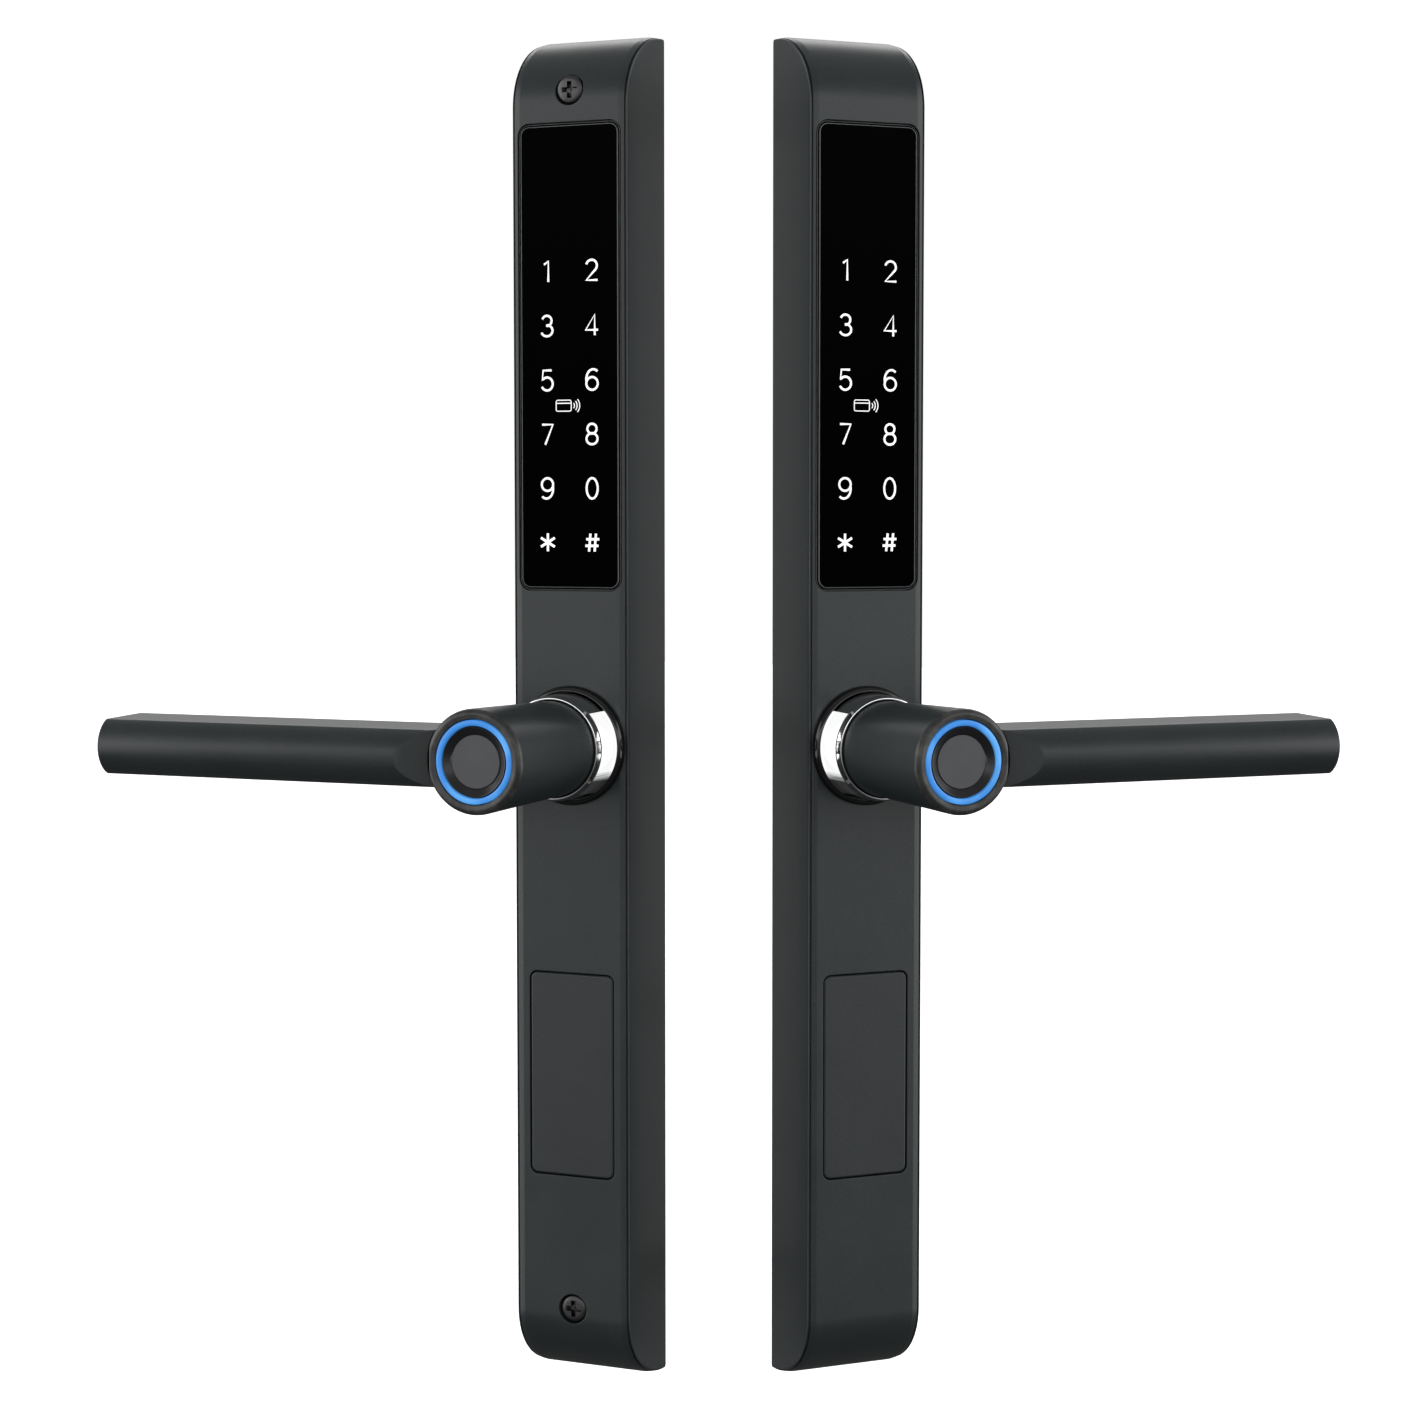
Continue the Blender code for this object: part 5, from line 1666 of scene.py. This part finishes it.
@dataclass
class ThroughScrews:
    """Machine screws of the inside half, with a cross recess and a cut thread."""

    finishes: Finishes
    shank: float = 0.0025
    thread_depth: float = 0.0003
    pitch: float = 0.0008
    threaded: float = 0.0140
    head_height: float = 0.0024
    cross: tuple[float, float] = (0.0056, 0.0015)
    cross_depth: float = 0.0015
    cross_taper: tuple[float, float] = (0.55, 0.8)

    def build(self, pair: Pair) -> None:
        """Model one screw and copy it to both places.

        Args:
            pair: Both halves, which the pieces are delivered to.
        """
        top, bottom = screw_heights()
        screw = self.screw(Room.of("inside_screw_top"))
        lower = Bench.twin(screw)
        Bench.apply_matrix(lower, Matrix.Translation((0, 0, bottom - top)))
        pair.inside.deliver(screw, "screw_top", "dark_steel", replaced=("screw_top",))
        pair.inside.deliver(lower, "screw_bottom", "dark_steel", replaced=("screw_bottom",))

    def screw(self, room: Room) -> bpy.types.Object:
        """Head with a soft dome and a cross, shank and thread.

        Args:
            room: Room of the screw.

        Returns:
            The screw, dressed.
        """
        radius, front = room.radius, room.front
        seat = front - self.head_height
        core = self.shank - self.thread_depth
        profile = [(0, room.back), (core - 0.0003, room.back), (core, room.back + 0.0004)]
        s = room.back + 0.0006
        while s < room.back + self.threaded:
            profile += [(core, s), (self.shank, s + self.pitch * 0.4), (self.shank, s + self.pitch * 0.55)]
            s += self.pitch
        profile += [(self.shank, s), (self.shank, seat), (radius - 0.0002, seat), (radius, seat + 0.0002),
                    (radius, front - 0.0008), (radius - 0.00012, front - 0.00045),
                    (radius - 0.00045, front - 0.00018), (radius - 0.0010, front - 0.00005),
                    (radius - 0.0018, front)]
        screw = Bench.turn(profile, room.z, sides=48)
        length, width = (size / 2 for size in self.cross)
        floor = front - self.cross_depth
        for across, up in ((length, width), (width, length)):
            slot = Bench.block((-across, -front - BEYOND, room.z - up), (across, -floor, room.z + up))
            along, thin = self.cross_taper if across > up else self.cross_taper[::-1]
            with Bench.editing(slot):
                Bench.pick(slot, "FACE", lambda face: face.normal.y > 0.9)
                bpy.ops.transform.resize(value=(along, 1, thin), center_override=(0, -floor, room.z))
            Bench.combine(screw, slot, Joining.CUT)
        dimple = Bench.turn([(0, floor - 0.0003), (0.0003, floor - 0.0003), (0.0010, front + 0.0004)], room.z,
                            sides=24)
        Bench.combine(screw, dimple, Joining.CUT)
        Bench.smooth(screw, 35)
        return dress(screw, self.finishes.dark_steel)


@dataclass
class Posts:
    """Threaded posts of the outside half, with ring grooves round them and a mouth for the screw."""

    finishes: Finishes
    radius: float = 0.0040
    spigot: float = 0.0025
    spigot_length: float = 0.0126
    groove: float = 0.0003
    groove_pitch: float = 0.0016
    grooves: int = 9
    shoulder: float = 0.0010
    reach: float = 0.0170
    depth: float = 0.0136
    bore: float = 0.0022

    def build(self, pair: Pair) -> None:
        """Model one post and copy it.

        Args:
            pair: Both halves, which the pieces are delivered to.
        """
        end, front = -self.reach, self.shoulder
        neck = front + self.spigot_length
        profile = [(0, neck), (self.spigot, neck), (self.spigot, front), (self.radius, front)]
        root = self.radius - self.groove
        for ring in range(self.grooves):
            s = front - (ring + 1) * self.groove_pitch
            profile += [(self.radius, s), (root, s - 0.0002), (root, s - 0.0006), (self.radius, s - 0.0008)]
        profile += [(self.radius, end + 0.0004), (self.radius - 0.0004, end), (self.bore + 0.0004, end),
                    (self.bore, end + 0.0004)]
        s = end + 0.0010
        while s < end + self.depth - 0.001:
            profile += [(self.bore, s), (self.bore + 0.00025, s + 0.0003), (self.bore, s + 0.0006)]
            s += 0.0008
        profile.append((self.bore, end + self.depth))
        top, bottom = screw_heights()
        post = Bench.turn(profile, top, sides=48)
        Bench.smooth(post, 35)
        dress(post, self.finishes.brass)
        lower = Bench.twin(post)
        Bench.apply_matrix(lower, Matrix.Translation((0, 0, bottom - top)))
        pair.outside.deliver(post, "post_top", "brass", replaced=("post_top",))
        pair.outside.deliver(lower, "post_bottom", "brass", replaced=("post_bottom",))


@dataclass
class DoorSide:
    """What shows from behind: foam gasket, spindle and the back plate's screws."""

    finishes: Finishes
    gasket_corner: float = 0.0010
    post_hole: float = 0.0043
    spindle_hole: float = 0.0070
    slot: tuple[float, float] = (0.0116, 0.0176)
    slot_z: float = -0.0360
    key_hole: float = 0.0039
    key_z: float = -0.0890
    soft: float = 0.00022
    head_gap: float = 0.0003
    spindle_chamfer: float = 0.0009
    spindle_taper: float = 0.78
    spindle_edge: float = 0.00035
    cross: tuple[float, float] = (0.0014, 0.0003)

    def build(self, pair: Pair) -> None:
        """Model the gasket, the spindle and the small screws.

        Args:
            pair: Both halves, which the pieces are delivered to.
        """
        self.gasket(pair)
        self.spindle(pair)
        self.plate_screws(pair)

    def gasket(self, pair: Pair) -> None:
        """Foam sheet with soft edges and a hole for everything that passes.

        Args:
            pair: Both halves, which the pieces are delivered to.
        """
        room = Room.of("inside_door_gasket")
        sheet = Bench.plate((room.width, room.height), self.gasket_corner, (room.back, room.front), room.z,
                            steps=4)
        axis = Room.of("inside_trim_ring").z
        small = [Room.of(f"inside_plate_screw_{place}") for place in ("upper", "lower")]
        holes = [(self.post_hole, z) for z in screw_heights()] + [(self.spindle_hole, axis)]
        holes += [(head.radius + self.head_gap, head.z) for head in small]
        for radius, z in holes:
            self.drill(sheet, radius, z, room)
        through = (room.back - BEYOND, room.front + BEYOND)
        slot = Bench.plate(self.slot, self.slot[0] / 4, through, self.slot_z)
        Bench.combine(sheet, slot, Joining.CUT)
        outside = Bench.twin(sheet)
        self.drill(outside, self.key_hole, self.key_z, room)
        for piece, half in ((sheet, pair.inside), (outside, pair.outside)):
            Bench.bevel(piece, lambda edge: both(edge, lambda p: p.y > -room.back - TINY), self.soft, 2)
            Bench.smooth(piece)
            dress(piece, self.finishes.rubber)
            half.deliver(piece, "door_gasket", "rubber", replaced=("door_gasket",))

    @staticmethod
    def drill(sheet: bpy.types.Object, radius: float, z: float, room: Room) -> None:
        """Drill a round hole through a sheet.

        Args:
            sheet: The sheet.
            radius: The hole's radius.
            z: The hole's height.
            room: The sheet's room.
        """
        back, front = room.back - BEYOND, room.front + BEYOND
        bit = Bench.turn([(0, back), (radius, back), (radius, front)], z, sides=48)
        Bench.combine(sheet, bit, Joining.CUT)

    def spindle(self, pair: Pair) -> None:
        """Square bar with chamfered end and broken edges.

        Args:
            pair: Both halves, which the pieces are delivered to.
        """
        room = Room.of("inside_half_spindle")
        bar = Bench.block(tuple(room.low), tuple(room.high))
        end = room.high.y
        with Bench.editing(bar):
            bpy.ops.mesh.select_all(action="SELECT")
            bpy.ops.mesh.bisect(plane_co=(0, end - self.spindle_chamfer, 0), plane_no=(0, 1, 0))
            Bench.pick(bar, "VERT", lambda vert: vert.co.y > end - TINY)
            share = (self.spindle_taper, 1, self.spindle_taper)
            bpy.ops.transform.resize(value=share, center_override=(0, end, room.z))
        Bench.bevel(bar, lambda edge: runs_along(edge, 1), self.spindle_edge, 3)
        Bench.smooth(bar)
        dress(bar, self.finishes.steel)
        pair.deliver(bar, "half_spindle", "steel", Carrier.LEVER)

    def plate_screws(self, pair: Pair) -> None:
        """Small countersunk-looking screws with a cross.

        Args:
            pair: Both halves, which the pieces are delivered to.
        """
        upper = Room.of("inside_plate_screw_upper")
        lower = Room.of("inside_plate_screw_lower")
        head, front = upper.back, upper.front
        profile = [(0, front), (0.0008, front), (0.0012, front - 0.0012), (0.0012, head + 0.0004),
                   (upper.radius, head + 0.0004), (upper.radius, head + 0.00014),
                   (upper.radius - 0.0003, head + 0.00002), (upper.radius - 0.0006, head)]
        screw = Bench.turn(profile, upper.z, sides=40)
        for across, up in (self.cross, self.cross[::-1]):
            low = (-across, -head - 0.0003, upper.z - up)
            slot = Bench.block(low, (across, -head + BEYOND, upper.z + up))
            Bench.combine(screw, slot, Joining.CUT)
        Bench.smooth(screw, 35)
        dress(screw, self.finishes.steel)
        second = Bench.twin(screw)
        Bench.apply_matrix(second, Matrix.Translation((0, 0, lower.z - upper.z)))
        pair.deliver(screw, "plate_screw_upper", "steel")
        pair.deliver(second, "plate_screw_lower", "steel")


@dataclass
class BatterySpace:
    """The two cells behind the battery cover."""

    finishes: Finishes
    shoulder: float = 0.0006

    def build(self, pair: Pair) -> None:
        """Model one cell and copy it, upside down, beside the first.

        Args:
            pair: Both halves, which the pieces are delivered to.
        """
        left, right = Room.of("inside_battery_cell_left"), Room.of("inside_battery_cell_right")
        cell = self.cell(left)
        other = Bench.twin(cell)
        middle = (left.z + right.z) / 2
        turn = Matrix.Translation((0, 0, middle)) @ Matrix.Rotation(math.pi, 4, "Y") @ Matrix.Translation(
            (0, 0, -middle))
        Bench.apply_matrix(other, turn)
        pair.inside.deliver(cell, "battery_cell_left", "cell_wrap", replaced=("battery_cell_left",))
        pair.inside.deliver(other, "battery_cell_right", "cell_wrap", replaced=("battery_cell_right",))

    def cell(self, room: Room) -> bpy.types.Object:
        """Sleeved cell with a steel nub and a bare base.

        Args:
            room: Room of the cell.

        Returns:
            The cell, dressed.
        """
        radius = room.width / 2
        x, y = (room.low.x + room.high.x) / 2, (room.low.y + room.high.y) / 2
        length = room.height
        soft = self.shoulder
        profile = [(0, 0), (radius - 0.0010, 0), (radius - 0.0009, 0.0002), (radius - soft / 2, 0.0002),
                   (radius, soft), (radius, length - 0.0009 - soft), (radius - soft / 2, length - 0.0010),
                   (radius - 0.0012, length - 0.0010), (radius - 0.0013, length - 0.0012),
                   (0.0022, length - 0.0012), (0.0019, length - 0.0010), (0.0019, length - 0.0002),
                   (0.0017, length)]
        cell = Bench.turn([(r, -s) for r, s in profile], sides=64)
        upright = Matrix.Translation((x, y, room.low.z)) @ Matrix.Rotation(math.pi / 2, 4, "X")
        Bench.apply_matrix(cell, upright)
        Bench.smooth(cell, 35)
        dress(cell, self.finishes.sleeve, self.finishes.steel)
        for face in cell.data.polygons:
            out = math.hypot(face.center.x - x, face.center.y - y)
            face.material_index = int(out < radius - 0.0011)
        return cell


@dataclass
class Dressing:
    """Finishes of the CAD nodes whose shape stays as it is."""

    finishes: Finishes

    def build(self) -> None:
        """Give each node that still shows its finish."""
        kit = self.finishes
        shared = {
            "back_plate": kit.steel,
            "keypad_board": kit.board,
            "card_antenna": kit.copper,
            "main_board": kit.board,
            "lever_bush": kit.brass,
            "circlip": kit.steel,
            "return_spring": kit.steel,
            "drive_hub": kit.steel,
            "grub_screw": kit.dark_steel,
            "reader_board": kit.board,
        }
        halves = ("inside", "outside")
        nodes = {f"{half}_{what}": finish for half in halves for what, finish in shared.items()}
        nodes.update({
            "inside_battery_tray": kit.tray,
            "inside_contact_upper": kit.steel,
            "inside_contact_lower": kit.steel,
            "outside_key_housing": kit.tray,
            "outside_key_cylinder": kit.brass,
            "outside_key_plug": kit.brass,
            "outside_power_port": kit.steel,
            "outside_clutch_unit": kit.clutch,
        })
        for name, finish in nodes.items():
            node = bpy.data.objects[name]
            for slot in node.material_slots:
                slot.material = finish
            LOG.info("%s dressed with %s", name, finish.name)


@dataclass
class Studio:
    """Pale floor, soft light all round and the camera."""

    azimuth: float = 23.1
    camera_place: tuple[float, float, float] = (0.35245, -0.74681, 0.05876)
    camera_pitch: float = -3.9
    lens: float = 73.75
    shift: tuple[float, float] = (-0.0063, -0.0049)
    floor_z: float = -0.34

    def build(self) -> None:
        """Set up everything around the lock."""
        self.floor()
        self.sky()
        self.camera()
        bpy.context.scene.view_settings.view_transform = "Standard"

    def floor(self) -> None:
        """Large pale floor."""
        bpy.ops.mesh.primitive_plane_add(size=12, location=(0, 0, self.floor_z))
        floor = bpy.context.object
        floor.name = "floor"
        Bench.settle(floor)
        tree = Tree("pale_floor")
        cloud = tree.noise(tree.place(), 0.5, 2.0)
        floor.data.materials.append(tree.finish(
            base_color=tree.blend(cloud, (0.94, 0.94, 0.94), (0.97, 0.97, 0.97)),
            roughness=0.6,
            emission_color=(1.0, 1.0, 1.0),
            emission_strength=0.75,
        ))
        floor.visible_glossy = False
        floor.visible_diffuse = False

    def sky(self) -> None:
        """White backdrop with soft panels to both sides, overhead and behind, and darker screens between."""
        world = bpy.data.worlds.new("studio")
        bpy.context.scene.world = world
        world.use_nodes = True
        tree = world.node_tree
        tree.nodes.clear()
        maker = SkyTree(tree)
        towards = math.radians(self.azimuth)
        maker.build(Vector((math.sin(towards), -math.cos(towards), 0)),
                    Vector((math.cos(towards), math.sin(towards), 0)))

    def camera(self) -> None:
        """Camera at its standing place."""
        data = bpy.data.cameras.new("camera")
        data.lens = self.lens
        data.shift_x, data.shift_y = self.shift
        data.clip_start = 0.01
        camera = bpy.data.objects.new("camera", data)
        camera.location = self.camera_place
        camera.rotation_euler = (math.radians(90 + self.camera_pitch), 0, math.radians(self.azimuth))
        bpy.context.scene.collection.objects.link(camera)
        bpy.context.scene.camera = camera


@dataclass
class SkyTree:
    """World nodes of the studio's light."""

    tree: bpy.types.NodeTree
    base: float = 0.10
    ground: float = 0.16
    front_top: float = 1.25
    front_low: float = 0.42
    side_panel: float = 2.1
    back_panel: float = 0.20
    back_high: float = 2.4
    overhead: float = 0.20

    def node(self, kind: str, settings: dict, values: dict, output: int | str = 0) -> bpy.types.NodeSocket:
        """Add a node and return one of its outputs.

        Args:
            kind: The node's type.
            settings: Its own settings.
            values: Numbers or links for its sockets.
            output: Which output is passed on.

        Returns:
            The output socket.
        """
        node = self.tree.nodes.new(kind)
        for key, setting in settings.items():
            setattr(node, key, setting)
        for key, value in values.items():
            if isinstance(value, bpy.types.NodeSocket):
                self.tree.links.new(value, node.inputs[key])
            else:
                node.inputs[key].default_value = value
        return node.outputs[output]

    def math(self, operation: str, *values: "bpy.types.NodeSocket | float") -> bpy.types.NodeSocket:
        """One Math node."""
        return self.node("ShaderNodeMath", {"operation": operation}, dict(enumerate(values)))

    def step(self, value: bpy.types.NodeSocket, start: float, end: float) -> bpy.types.NodeSocket:
        """Soft step from 0 to 1."""
        values = {"Value": value, "From Min": start, "From Max": end, "To Min": 0.0, "To Max": 1.0}
        return self.node("ShaderNodeMapRange", {"interpolation_type": "SMOOTHSTEP"}, values)

    def product(self, *values: "bpy.types.NodeSocket | float") -> "bpy.types.NodeSocket | float":
        """Product of several masks.

        Args:
            values: The masks.

        Returns:
            Their product.
        """
        total = values[0]
        for value in values[1:]:
            total = self.math("MULTIPLY", total, value)
        return total

    def build(self, forward: Vector, right: Vector) -> None:
        """Paint the light by direction.

        Args:
            forward: Level direction from the lock to the camera.
            right: Level direction to the camera's right.
        """
        way = self.node("ShaderNodeTexCoord", {}, {}, "Generated")
        dots = []
        for axis in (forward, right, Vector((0, 0, 1))):
            values = {0: way, 1: tuple(axis)}
            dots.append(self.node("ShaderNodeVectorMath", {"operation": "DOT_PRODUCT"}, values, "Value"))
        ahead, across, up = dots
        across = self.math("ABSOLUTE", across)
        beside = self.product(self.step(across, 0.80, 0.88), self.step(ahead, -0.50, -0.40))
        before = self.product(self.step(ahead, 0.40, 0.55), self.step(up, 0.42, 0.26))
        behind = self.step(ahead, -0.84, -0.93)
        masks = (
            (self.step(up, -0.35, -0.05), self.ground),
            (self.product(before, self.step(up, -0.30, -0.02)), self.front_low),
            (self.product(before, self.step(up, -0.02, 0.22)), self.front_top),
            (self.product(beside, self.step(up, -0.34, -0.26), self.step(up, 0.62, 0.45)), self.side_panel),
            (self.product(behind, self.step(up, -0.15, 0.0), self.step(up, 0.34, 0.16)), self.back_panel),
            (self.product(self.step(ahead, -0.58, -0.78), self.step(up, 0.34, 0.46),
                          self.step(up, 0.80, 0.62)), self.back_high),
            (self.step(up, 0.75, 0.95), self.overhead),
        )
        total: bpy.types.NodeSocket | float = self.base
        for mask, strength in masks:
            total = self.math("ADD", total, self.math("MULTIPLY", mask, strength))
        seen = self.node("ShaderNodeLightPath", {}, {}, "Is Camera Ray")
        strength = self.math("ADD", self.math("MULTIPLY", seen, 1.02),
                             self.math("MULTIPLY", self.math("SUBTRACT", 1.0, seen), total))
        light = self.node("ShaderNodeBackground", {}, {"Color": (1, 0.995, 0.985, 1), "Strength": strength})
        output = self.tree.nodes.new("ShaderNodeOutputWorld")
        self.tree.links.new(light, output.inputs["Surface"])


def main() -> None:
    """Load the frame, build every sub-assembly and the studio, and log each piece's face count."""
    logging.basicConfig(level=logging.INFO, format="%(message)s")
    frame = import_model()
    pair = Pair.of(frame["joints"])
    finishes = Finishes.make()
    for maker in (Casing, KeypadGlass, Legend, RoseAndRing, Lever, Reader, LowerCover, ThroughScrews, Posts,
                  DoorSide, BatterySpace):
        LOG.info("building %s", maker.__name__)
        maker(finishes).build(pair)
    Dressing(finishes).build()
    Studio().build()


if __name__ == "__main__":
    main()
